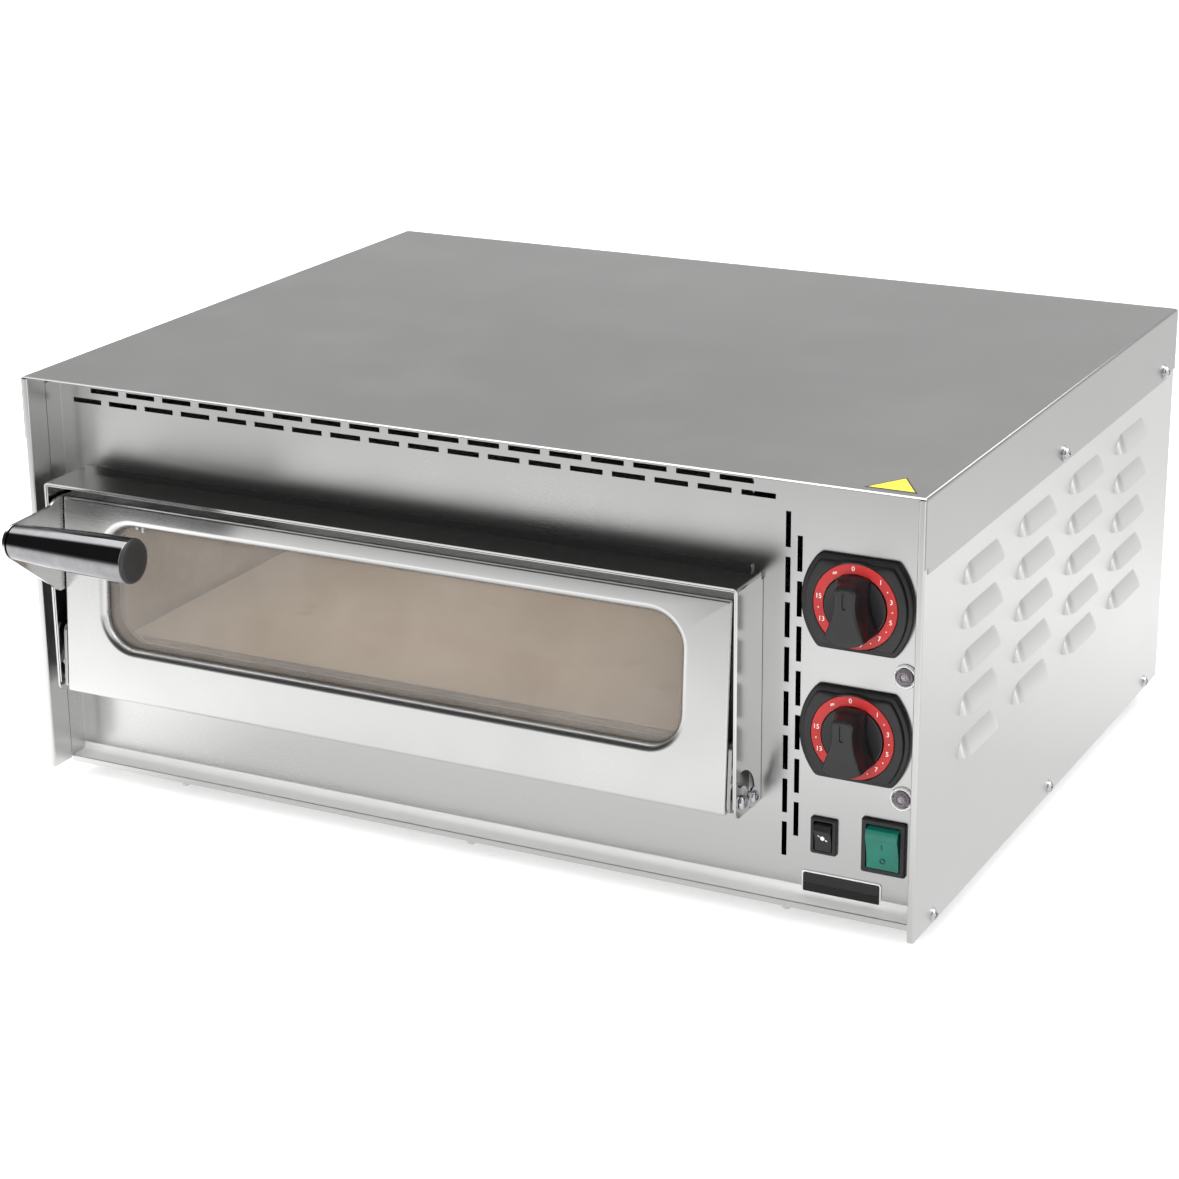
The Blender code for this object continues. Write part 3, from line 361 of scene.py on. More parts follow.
def solid(name, mesh, pose, edge=0.0, cutters=(), grain=0, late_cutters=(), segments=2):
    """Cuts the mesh, rounds its sharp edges and gives it smooth shading; returns the new mesh."""
    obj = placed(name, mesh, pose)
    helpers = []
    early = len(cutters)
    for i, shape in enumerate([*cutters, *late_cutters]):
        if i == early and edge:
            add_bevel(obj, edge, segments)
        helper = placed("cutter", shape, pose)
        helpers.append(helper)
        boolean = obj.modifiers.new("cut", "BOOLEAN")
        boolean.solver = "EXACT"
        boolean.object = helper
    if edge and not late_cutters:
        add_bevel(obj, edge, segments)
    bpy.context.view_layer.update()
    made = final_mesh(obj)
    bpy.data.meshes.remove(mesh)
    for helper in helpers:
        data = helper.data
        bpy.data.objects.remove(helper, do_unlink=True)
        bpy.data.meshes.remove(data)
    made.name = name
    return shaded(made, 38, grain)


def add_bevel(obj, width, segments):
    bevel = obj.modifiers.new("edge", "BEVEL")
    bevel.width = width
    bevel.segments = segments
    bevel.limit_method = "ANGLE"
    bevel.angle_limit = math.radians(40)
    bevel.use_clamp_overlap = True


def piece(name, mesh, material, body, pose, slot, nodes=()):
    """Shows a finished mesh as one piece that rides on a body and stands for some CAD nodes."""
    obj = placed(name, mesh, pose)
    mesh.materials.clear()
    mesh.materials.append(material)
    weighting = obj.modifiers.new("even_shading", "WEIGHTED_NORMAL")
    weighting.keep_sharp = True
    weighting.weight = 80
    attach(obj, body)
    if nodes:
        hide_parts(*nodes)
    return obj


def from_bmesh(name, bm, recalculate=True):
    if recalculate:
        bmesh.ops.recalc_face_normals(bm, faces=bm.faces)
    mesh = bpy.data.meshes.new(name)
    bm.to_mesh(mesh)
    bm.free()
    return mesh


def joined(name, meshes):
    """One mesh from several, each taken as (mesh, place)."""
    bm = bmesh.new()
    for mesh, place in meshes:
        start = len(bm.verts)
        bm.from_mesh(mesh)
        bm.verts.ensure_lookup_table()
        bmesh.ops.transform(bm, matrix=place, verts=bm.verts[start:])
        bpy.data.meshes.remove(mesh)
    return from_bmesh(name, bm, recalculate=False)


def boxes(name, corners):
    """One mesh of boxes, each given by its lowest and highest corners."""
    bm = bmesh.new()
    for low, high in corners:
        low, high = Vector(low), Vector(high)
        size = Matrix.Diagonal((*(high - low), 1.0))
        bmesh.ops.create_cube(bm, size=1.0, matrix=Matrix.Translation((low + high) / 2) @ size)
    return from_bmesh(name, bm)


def arc(centre, radius, start, end, steps):
    """Points along an arc, both ends included."""
    turn = (end - start) / steps
    angles = [start + turn * i for i in range(steps + 1)]
    return [(centre[0] + radius * math.cos(a), centre[1] + radius * math.sin(a)) for a in angles]


def rounded_rectangle(left, right, bottom, top, radius, steps=8):
    corners = [(right - radius, top - radius), (left + radius, top - radius),
               (left + radius, bottom + radius), (right - radius, bottom + radius)]
    outline = []
    for quarter, centre in enumerate(corners):
        start = quarter * math.pi / 2
        outline += arc(centre, radius, start, start + math.pi / 2, steps)
    return outline


def offset_path(path, distance):
    """The path moved to its right-hand side."""
    path = [Vector(point) for point in path]
    steps = [(after - before).normalized() for before, after in zip(path, path[1:])]
    rights = [Vector((step.y, -step.x)) for step in steps]
    moved = []
    for i, point in enumerate(path):
        first, second = rights[max(i - 1, 0)], rights[min(i, len(rights) - 1)]
        moved.append(point + (first + second) * distance / (1.0 + first.dot(second)))
    return moved


def fillet(path, radius, inner, steps=5):
    """The path with its corners rounded: radius where it turns right, inner where it turns left."""
    path = [Vector(point) for point in path]
    out = [path[0]]
    for before, point, after in zip(path, path[1:], path[2:]):
        into, away = (point - before).normalized(), (after - point).normalized()
        cross = into.x * away.y - into.y * away.x
        turn = into.angle(away)
        bend = radius if cross < 0 else inner
        bend = max(bend, 0.00005)
        if turn < 0.01:
            out.append(point)
            continue
        start = point - into * bend * math.tan(turn / 2)
        side = Vector((into.y, -into.x)) if cross < 0 else Vector((-into.y, into.x))
        centre = start + side * bend
        for k in range(steps + 1):
            angle = turn * k / steps * (-1 if cross < 0 else 1)
            spoke = start - centre
            out.append(centre + Vector((spoke.x * math.cos(angle) - spoke.y * math.sin(angle),
                                        spoke.x * math.sin(angle) + spoke.y * math.cos(angle))))
    out.append(path[-1])
    return out


PLANES = {
    "X": lambda u, v, along: (along, u, v),
    "Y": lambda u, v, along: (u, along, v),
    "Z": lambda u, v, along: (u, v, along),
}


def folded(name, path, axis, start, end, thickness=SHEET, radius=0.0016, steps=5):
    """Sheet folded along a path; the sheet's thickness goes to the path's right-hand side."""
    inner = fillet(offset_path(path, thickness), max(radius - thickness, 0), radius, steps)
    outer = fillet(path, radius, max(radius - thickness, 0), steps)
    place = PLANES[axis]
    bm = bmesh.new()
    rings = [[bm.verts.new(place(u, v, along)) for u, v in side]
             for along in (start, end) for side in (outer, inner)]
    near_out, near_in, far_out, far_in = rings
    last = len(outer) - 1
    for i in range(last):
        j = i + 1
        bm.faces.new((near_out[i], near_out[j], far_out[j], far_out[i]))
        bm.faces.new((near_in[j], near_in[i], far_in[i], far_in[j]))
        bm.faces.new((near_out[j], near_out[i], near_in[i], near_in[j]))
        bm.faces.new((far_out[i], far_out[j], far_in[j], far_in[i]))
    for i in (0, last):
        bm.faces.new((near_out[i], near_in[i], far_in[i], far_out[i]))
    return from_bmesh(name, bm)


def plate(name, outlines, low, high, axis):
    """A flat piece from closed outlines, the later ones holes, between low and high on axis."""
    curve = bpy.data.curves.new(name, "CURVE")
    curve.dimensions = "2D"
    curve.fill_mode = "BOTH"
    curve.extrude = (high - low) / 2
    for outline in outlines:
        spline = curve.splines.new("POLY")
        spline.points.add(len(outline) - 1)
        for point, (u, v) in zip(spline.points, outline):
            point.co = (u, v, 0.0, 1.0)
        spline.use_cyclic_u = True
    mesh = filled(curve)
    middle = (low + high) / 2
    turns = {
        "X": Matrix(((0, 0, 1, middle), (1, 0, 0, 0), (0, 1, 0, 0), (0, 0, 0, 1))),
        "Y": Matrix(((1, 0, 0, 0), (0, 0, -1, middle), (0, 1, 0, 0), (0, 0, 0, 1))),
        "Z": Matrix.Translation((0, 0, middle)),
    }
    bm = bmesh.new()
    bm.from_mesh(mesh)
    bpy.data.meshes.remove(mesh)
    bmesh.ops.remove_doubles(bm, verts=bm.verts, dist=0.00001)
    bmesh.ops.dissolve_limit(bm, angle_limit=0.001, verts=bm.verts, edges=bm.edges)
    bmesh.ops.transform(bm, matrix=turns[axis], verts=bm.verts)
    return from_bmesh(name, bm)


def turned(name, profile, steps=48):
    """A turned piece about Z; the profile of (radius, height) runs from the top down the outside."""
    bm = bmesh.new()
    rings = []
    for radius, height in profile:
        if radius < 1e-7:
            rings.append([bm.verts.new((0, 0, height))])
            continue
        rings.append([bm.verts.new((radius * math.cos(2 * math.pi * k / steps),
                                    radius * math.sin(2 * math.pi * k / steps), height))
                      for k in range(steps)])
    if profile[0][0] > 1e-7:
        rings.append(rings[0])
    for above, below in zip(rings, rings[1:]):
        for k in range(steps):
            j = (k + 1) % steps
            corners = [above[k % len(above)], above[j % len(above)],
                       below[j % len(below)], below[k % len(below)]]
            corners = list(dict.fromkeys(corners))
            if len(corners) > 2:
                bm.faces.new(corners)
    return from_bmesh(name, bm)


def bridge(bm, first, second):
    """Faces between two rings that have the same count."""
    for k in range(len(first)):
        j = (k + 1) % len(first)
        bm.faces.new((first[k], first[j], second[j], second[k]))


def lofted(name, loops, cap_first=False, cap_last=False, closed=False):
    """A skin over loops of 3-D points that all have the same count."""
    bm = bmesh.new()
    rings = [[bm.verts.new(point) for point in loop] for loop in loops]
    if closed:
        rings.append(rings[0])
    for first, second in zip(rings, rings[1:]):
        bridge(bm, first, second)
    if cap_first:
        bm.faces.new(rings[0])
    if cap_last:
        bm.faces.new(rings[-1])
    return from_bmesh(name, bm)


def turned_piece(name, profile, steps, material, body, pose, slot, nodes=()):
    """A turned shape shown as one piece, as piece() does."""
    mesh = solid("turned", turned("turned", profile, steps), STILL)
    return piece(name, mesh, material, body, pose, slot, nodes)


def rod(name, radius, start, end, segments=32):
    start, end = Vector(start), Vector(end)
    along = end - start
    turn = along.to_track_quat("Z", "Y").to_matrix().to_4x4()
    bm = bmesh.new()
    bmesh.ops.create_cone(bm, cap_ends=True, segments=segments, radius1=radius, radius2=radius,
                          depth=along.length, matrix=Matrix.Translation((start + end) / 2) @ turn)
    return from_bmesh(name, bm)


# ---------------------------------------------------------------- casing sheets

COVER_LOW, COVER_HIGH = cad("top_cover")
WIDTH, DEPTH, HEIGHT = COVER_HIGH
COVER_BOTTOM = COVER_LOW.z
PANEL_LOW, PANEL_HIGH = cad("front_panel")
PANEL_FACE = PANEL_HIGH.y - SHEET
HOOD_LOW, HOOD_HIGH = cad("door_shroud")
HEM_WIDTH = 0.0020
LOUVRE_SHEET, LIP_SHARE = 0.0008, 0.95
LOUVRE_FIRST_Y, LOUVRE_FIRST_Z = 0.0593, 0.0814
LOUVRE_PITCH_Y, LOUVRE_PITCH_Z = 0.0867, 0.0242
SLOT_LENGTH, SLOT_HEIGHT, SLOT_PITCH = 0.0195, 0.0029, 0.0250
# The opening behind the door: left, right, bottom and top.
CHAMBER_OPENING = (0.0330, 0.4305, 0.0620, 0.1670)


def top_cover():
    """The cover with its short side flanges, notched at the corners and rolled at its front edge."""
    path = [(0, COVER_BOTTOM), (0, HEIGHT), (WIDTH, HEIGHT), (WIDTH, COVER_BOTTOM)]
    sheet = folded("cover", path, "Y", 0, DEPTH, radius=0.0018)
    notch = 0.0034
    corners = []
    for x in (-0.001, WIDTH - 0.0025):
        corners.append(((x, -0.001, COVER_BOTTOM - 0.001), (x + 0.0035, 0.0042, COVER_BOTTOM + notch)))
        corners.append(((x, DEPTH - 0.011, COVER_BOTTOM - 0.001),
                        (x + 0.0035, DEPTH + 0.001, COVER_BOTTOM + notch * 0.8)))
    slope = [(-0.0010, HEIGHT - 0.0011), (0.0026, HEIGHT + 0.0005), (-0.0010, HEIGHT + 0.0020)]
    rolled = plate("rolled", [slope], -0.001, WIDTH + 0.001, "X")
    cover = solid("cover_sheet", sheet, CASE, 0.00025, [boxes("notches", corners), rolled], grain=1)
    piece("top_cover_sheet", cover, SHADED_COVER_STEEL, *CASING_SHEET, ["top_cover"])


def louvre_patch(low_y, low_z, side, face):
    """One pressed louvre: flat and slanted, with round ends, open along its lower edge."""
    length, height, depth = 0.0547, 0.0109, 0.0050
    front_end, back_end, steps, middle, rows = 0.0088, 0.0078, 7, 6, 7
    angles = [math.pi / 2 * k / steps for k in range(steps + 1)]
    flat = length - front_end - back_end
    # Along the louvre: the place on its upper edge, the place on its lip, and the rise from 0 to 1.
    fronts = [(front_end * (1 - math.cos(a)), math.sin(a)) for a in angles]
    backs = [(back_end * (1 - math.cos(a)), math.sin(a)) for a in reversed(angles)]
    along = [(y, y * LIP_SHARE, rise) for y, rise in fronts]
    along += [(front_end + flat * k / middle, front_end + flat * k / middle, 1.0) for k in range(1, middle)]
    along += [(length - y, length - y * LIP_SHARE, rise) for y, rise in backs]
    bm = bmesh.new()
    verts = []
    for r in range(rows + 1):
        part = r / rows
        swell = 0.10 * math.sin(math.pi * part)
        verts.append([bm.verts.new((face + side * depth * rise * (part + swell),
                                    low_y + top_y + (lip_y - top_y) * part,
                                    low_z + height * rise * (1 - part)))
                      for top_y, lip_y, rise in along])
    for above, below in zip(verts, verts[1:]):
        for k in range(len(above) - 1):
            corners = (above[k], above[k + 1], below[k + 1], below[k])
            bm.faces.new(corners if side > 0 else corners[::-1])
    bmesh.ops.remove_doubles(bm, verts=bm.verts, dist=0.00002)
    outline = [(low_y + y, low_z + height * rise) for y, _, rise in along]
    return from_bmesh("patch", bm, recalculate=False), outline


def side_panel(name, side):
    high = cad(name)[1]
    outer = WIDTH / 2 + side * (WIDTH / 2 - SHEET - 0.0004)
    inward = -side
    top = high.z
    path = [(outer, high.y), (outer, 0.0005), (outer + inward * HEM_WIDTH, 0.0005),
            (outer + inward * HEM_WIDTH, 0.016)]
    if side > 0:
        path.reverse()
    sheet = folded(name, path, "Z", 0.0, top, radius=0.00115)
    patches, holes = [], []
    for column in range(4):
        for row in range(5):
            low_y = LOUVRE_FIRST_Y + LOUVRE_PITCH_Y * column
            low_z = LOUVRE_FIRST_Z + LOUVRE_PITCH_Z * row
            patch, outline = louvre_patch(low_y, low_z, side, outer)
            patches.append(patch)
            holes.append(outline)
    inside = outer - side * 0.003
    cutters = [(plate("hole", [hole], min(outer, inside) - 0.0005, max(outer, inside) + 0.0005, "X"), STILL)
               for hole in holes]
    panel = solid(name, sheet, CASE, 0.00025, (), 1, [joined("holes", cutters)])
    skins = [(thickened(patch, LOUVRE_SHEET), STILL) for patch in patches]
    whole = shaded(joined(name, [(panel, STILL), *skins]), 50, 1)
    piece(name + "_sheet", whole, SIDE_STEEL, *CASING_SHEET, [name])


def slot_boxes():
    """Cooling slots: two staggered rows above the door and two columns beside it."""
    front, back = PANEL_FACE - 0.002, PANEL_FACE + 0.004
    made = []
    for count, left, bottom in ((17, 0.0256, 0.2264), (18, 0.0130, 0.2198)):
        for i in range(count):
            x = left + SLOT_PITCH * i
            made.append(((x, front, bottom), (x + SLOT_LENGTH, back, bottom + SLOT_HEIGHT)))
    for count, left, top in ((8, 0.4633, 0.2143), (7, 0.4700, 0.2019)):
        for i in range(count):
            z = top - 0.02485 * i
            made.append(((left, front, z - SLOT_LENGTH), (left + SLOT_HEIGHT, back, z)))
    return made


def front_panel():
    """The recessed front: slots and openings cut through it, a coved ledge and a hem at its foot."""
    left, right = PANEL_LOW.x, PANEL_HIGH.x
    lip, top = PANEL_LOW.y, PANEL_HIGH.z
    path = [(right, lip), (right, PANEL_HIGH.y), (left, PANEL_HIGH.y), (left, lip)]
    sheet = folded("panel", path[::-1], "Z", 0.0005, top, radius=0.0012, steps=4)
    front, back = PANEL_FACE - 0.002, PANEL_FACE + 0.004
    cuts = slot_boxes()
    left_edge, right_edge, low_edge, high_edge = CHAMBER_OPENING
    cuts.append(((left_edge, front, low_edge), (right_edge, back, high_edge)))
    for node in ("main_switch_housing", "light_switch_housing"):
        low, high = cad(node)
        cuts.append(((low.x + 0.0016, front, low.z + 0.0016), (high.x - 0.0016, back, high.z - 0.0016)))
    for corner_x in (left - 0.001, right - 0.0015):
        cuts.append(((corner_x, lip - 0.001, top - 0.0065), (corner_x + 0.0025, lip + 0.0085, top + 0.001)))
    panel = solid("panel", sheet, CASE, 0.00018, [boxes("panel_cuts", cuts)], grain=0)
    fold = PANEL_FACE + 0.0004
    ledge = [(lip + 0.0009, 0.0003), (fold, 0.0003), (fold, 0.0054)]
    ledge += arc((PANEL_FACE - 0.0041, 0.0053), 0.0040, 0, -math.pi / 2, 8)
    ledge.append((lip + 0.0009, 0.0013))
    ledge = solid("ledge", plate("ledge", [ledge], left + SHEET, right - SHEET, "X"), CASE, grain=0)
    # The ledge's pale colour is a painted reflection of the bright floor.
    piece("front_panel_ledge", ledge, LEDGE_PAINTED_REFLECTION, *CASING_SHEET)
    hem = plate("hem", [[(lip, -0.0024), (lip + 0.0010, -0.0024), (lip + 0.0010, 0.0013), (lip, 0.0013)]],
                left + SHEET, right - SHEET, "X")
    hem = solid("hem", hem, CASE, 0.0003, grain=0)
    piece("front_panel_lower_hem", hem, PANEL_STEEL, *CASING_SHEET)
    piece("front_panel_sheet", panel, PANEL_STEEL, *CASING_SHEET, ["front_panel"])


def rear_panel():
    """A flat panel with two rows of vents and the hole for the cable gland."""
    low, high = cad("rear_panel")
    outline = rounded_rectangle(low.x, high.x, low.z, high.z, 0.0015, 2)
    mesh = plate("rear", [outline], low.y, high.y, "Y")
    vents = []
    for row in range(2):
        for i in range(18):
            x, z = 0.040 + SLOT_PITCH * i, 0.196 + 0.0145 * row
            vents.append(((x, low.y - 0.003, z), (x + SLOT_LENGTH, high.y + 0.003, z + 0.004)))
    gland = cad("cable_gland")
    middle = (gland[0] + gland[1]) / 2
    hole = rod("gland_hole", 0.0083, (middle.x, low.y - 0.002, middle.z),
               (middle.x, high.y + 0.002, middle.z))
    sheet = solid("rear", mesh, CASE, 0.0002, [boxes("vents", vents), hole], grain=0)
    piece("rear_panel_sheet", sheet, SIDE_STEEL, *CASING_SHEET, ["rear_panel"])


# ---------------------------------------------------------------- fixings

SCREW_PROFILE = [(0, 1.0), (0.35, 0.97), (0.70, 0.84), (0.92, 0.55), (1.0, 0.25), (1.0, 0), (0, 0)]


def screw_head(radius, height, washer=0.0, washer_height=0.0):
    """A domed head with a cross recess, on a washer if it has one."""
    profile = [(r * radius, h * height + washer_height) for r, h in SCREW_PROFILE]
    head = turned("head", profile, 24)
    depth, half, reach = height * 0.55, radius * 0.13, radius * 0.62
    top = height + washer_height
    cross = [((-reach, -half, top - depth), (reach, half, top + 0.001)),
             ((-half, -reach, top - depth), (half, reach, top + 0.001))]
    head = solid("head", head, STILL, 0, [boxes("recess", [bar]) for bar in cross])
    parts = [(head, STILL)]
    if washer:
        rim = [(washer - 0.0002, washer_height), (washer, washer_height - 0.0002), (washer, 0.0),
               (radius * 0.5, 0.0), (radius * 0.5, washer_height)]
        parts.append((solid("washer", turned("washer", rim, 32), STILL), STILL))
    return joined("screw", parts)


def screws(name, places, body, pose, radius, height, washer=0.0, washer_height=0.0):
    """Several screw heads as one piece; a place is (position, rotation)."""
    parts = [(screw_head(radius, height, washer, washer_height), Matrix.Translation(where) @ turn)
             for where, turn in places]
    piece(name, joined(name, parts), ZINC, body, pose, "zinc_plated_steel")


def casing_screws():
    """Screws on both sides, at the back, and under the front edge."""
    for side, x, turn in (("right", 1, OUT_RIGHT), ("left", -1, OUT_LEFT)):
        sheet = WIDTH / 2 + x * (WIDTH / 2 - SHEET - 0.0004)
        cover = WIDTH / 2 + x * WIDTH / 2
        places = [((cover, y, 0.2065), turn @ Matrix.Rotation(a, 4, "Z"))
                  for y, a in ((0.2165, 1.0), (0.4110, 0.6))]
        places += [((sheet, y, 0.0050), turn @ Matrix.Rotation(a, 4, "Z"))
                   for y, a in ((0.0276, 0.5), (0.2172, 1.2), (0.4058, 0.1))]
        screws("casing_screws_" + side, places, "casing", CASE, 0.0034, 0.0024, 0.0044, 0.0012)
    back = cad("rear_panel")[1].y
    spots = [(0.012, 0.030), (0.012, 0.225), (0.538, 0.030), (0.538, 0.225), (0.275, 0.030), (0.275, 0.230)]
    places = [((x, back, z), OUT_BACK) for x, z in spots]
    screws("rear_panel_screws", places, "casing", CASE, 0.0028, 0.0018)
    under = [((x, 0.0215, 0.0002), OUT_DOWN) for x in (0.0837, 0.2775, 0.4709)]
    screws("underside_screws", under, "casing", CASE, 0.0036, 0.0060)


# ---------------------------------------------------------------- hood and door

HINGE = JOINTS["door_hinge"] - CORNER
GUIDE_RADIUS, GUIDE_ANGLE = 0.0130, math.radians(-7.0)
SLOT_START, SLOT_END, SLOT_WIDTH = math.radians(-16.0), math.radians(96.0), 0.0084


def guide_slot():
    """The outline of the slot that the guide screw runs in, an arc round the hinge."""
    centre, half = (HINGE.y, HINGE.z), SLOT_WIDTH / 2
    outline = arc(centre, GUIDE_RADIUS + half, SLOT_START, SLOT_END, 16)
    for angle, turn in ((SLOT_END, 0.0), (SLOT_START, math.pi)):
        end = (centre[0] + GUIDE_RADIUS * math.cos(angle), centre[1] + GUIDE_RADIUS * math.sin(angle))
        outline += arc(end, half, angle + turn, angle + turn + math.pi, 10)[1:-1]
        if angle == SLOT_END:
            outline += arc(centre, GUIDE_RADIUS - half, SLOT_END, SLOT_START, 12)
    return outline


def hood():
    """The frame that stands out round the door, hemmed inside and with a slot for each guide screw."""
    left, right, bottom, top = HOOD_LOW.x, HOOD_HIGH.x, HOOD_LOW.z, HOOD_HIGH.z
    front, back = HOOD_LOW.y, HOOD_HIGH.y
    path = [(left, bottom), (left, top), (right, top), (right, bottom)]
    sheet = folded("hood", path, "Y", front, back, 0.0012, 0.0022, 6)
    corner = [(front - 0.001, bottom - 0.001), (front + 0.0052, bottom - 0.001), (front + 0.0052, bottom)]
    corner += [(y, z) for y, z in arc((front + 0.0052, bottom + 0.0052), 0.0052, -math.pi / 2, -math.pi, 8)]
    corner += [(front - 0.001, bottom + 0.0052)]
    slot, hem_slot = (plate(name, [guide_slot()], left - 0.003, right + 0.003, "X")
                      for name in ("slot", "hem_slot"))
    cutters = [slot, plate("corner", [corner], left - 0.003, right + 0.003, "X")]
    for x in (left, right):
        y = back - 0.0009
        cutters.append(rod("relief", 0.0013, (x, y, top - 0.004), (x, y, top + 0.002), 16))
    main = solid("hood", sheet, CASE, 0.0002, cutters, grain=0)
    inset = 0.0013
    hem_path = [(left + inset, bottom + 0.006), (left + inset, top - inset), (right - inset, top - inset),
                (right - inset, bottom + 0.006)]
    hem = folded("hem", hem_path, "Y", front + 0.0003, front + 0.0085, 0.0009, 0.0010)
    hem = solid("hem", hem, CASE, 0.00025, [hem_slot], grain=0)
    upstand = rounded_rectangle(left + 0.006, right - 0.006, top - 0.003, top + 0.0030, 0.0015, 3)
    upstand = solid("upstand", plate("upstand", [upstand], back - 0.0010, back, "Y"), CASE, 0.0002)
    whole = joined("hood", [(main, STILL), (hem, STILL), (upstand, STILL)])
    piece("door_hood", whole, HOOD_STEEL, *CASING_SHEET, ["door_shroud"])
    places = [((x, 0.0060, top - 0.0012), OUT_DOWN) for x in (0.104, 0.377)]
    screws("hood_inner_screws", places, "casing", CASE, 0.0026, 0.0028)


HALF_WIDTH, DOOR_FRONT, DOOR_BACK = 0.21275, -0.0068, 0.0152
DOOR_BOTTOM, DOOR_TOP = -0.0074, 0.1113
WINDOW = (0.1840, 0.0250, 0.0980, 0.0190)


def window(margin, steps=12):
    half, bottom, top, radius = WINDOW
    return rounded_rectangle(-half - margin, half + margin, bottom - margin, top + margin,
                             radius + margin, steps)


def door_outer_skin():
    """The folded outer sheet, rolled inwards round the window."""
    roll, bend, back = 0.0046, 0.0020, DOOR_BACK - SHEET - 0.0004
    flat = [rounded_rectangle(-HALF_WIDTH + bend, HALF_WIDTH - bend, DOOR_BOTTOM + bend,
                              DOOR_TOP - bend, 0.0006, 2), window(roll)]
    bm = bmesh.new()
    edges = []
    border, rim = [], []
    for outline, ring in zip(flat, (border, rim)):
        ring += [bm.verts.new((x, DOOR_FRONT, z)) for x, z in outline]
        edges += [bm.edges.new((first, second)) for first, second in zip(ring, ring[1:] + ring[:1])]
    bmesh.ops.triangle_fill(bm, use_beauty=True, use_dissolve=False, edges=edges, normal=(0, -1, 0))
    last = rim
    for k in range(1, 9):
        angle = math.pi / 2 * k / 8
        loop = window(roll * (1 - math.sin(angle)))
        y = DOOR_FRONT + roll * (1 - math.cos(angle))
        ring = [bm.verts.new((x, y, z)) for x, z in loop]
        bridge(bm, last, ring)
        last = ring
    last = border
    loops = [(bend * (1 - math.sin(a)), DOOR_FRONT + bend * (1 - math.cos(a)))
             for a in (math.pi / 8, math.pi / 4, 3 * math.pi / 8, math.pi / 2)]
    loops.append((0.0, back))
    for inset, y in loops:
        outline = rounded_rectangle(-HALF_WIDTH + inset, HALF_WIDTH - inset, DOOR_BOTTOM + inset,
                                    DOOR_TOP - inset, 0.0006 + (bend - inset) * 0.3, 2)
        ring = [bm.verts.new((x, y, z)) for x, z in outline]
        bridge(bm, ring, last)
        last = ring
    made = shaded(thickened(from_bmesh("door_skin", bm), 0.0009), 35, 0)
    piece("door_outer_sheet", made, DOOR_STEEL, *DOOR_SHEET, ["door_outer_skin"])


def door_inside():
    """The inner sheet, its screws, the pane and the clip at the window's corner."""
    edge = 0.0004
    outer = rounded_rectangle(-HALF_WIDTH + edge, HALF_WIDTH - edge, DOOR_BOTTOM + edge,
                              DOOR_TOP - edge, 0.002, 3)
    inner = plate("inner", [outer, window(0.0015)], DOOR_BACK - SHEET, DOOR_BACK, "Y")
    inner = solid("inner", inner, DOOR, 0.00025, grain=0)
    piece("door_inner_sheet", inner, INNER_STEEL, *DOOR_SHEET, ["door_inner_skin"])
    spots = [(x, z) for x in (-0.200, -0.067, 0.067, 0.200) for z in (0.006, 0.106)]
    places = [((x, DOOR_BACK, z), OUT_BACK) for x, z in spots]
    screws("door_inner_screws", places, "door", DOOR, 0.0024, 0.0012)
    pane = plate("pane", [window(0.0056)], -0.0014, 0.0024, "Y")
    pane = solid("pane", pane, DOOR, 0.0004)
    piece("door_window_pane", pane, GLASS, "door", DOOR, "oven_glass", ["door_glass"])
    clip = [((-0.1655, -0.0016, 0.0962), (-0.1635, 0.0040, 0.1010)),
            ((-0.1612, -0.0016, 0.0948), (-0.1597, 0.0040, 0.1010))]
    clip = solid("clip", boxes("clip", clip), DOOR, 0.0003)
    piece("window_clip", clip, ZINC, "door", DOOR, "zinc_plated_steel")


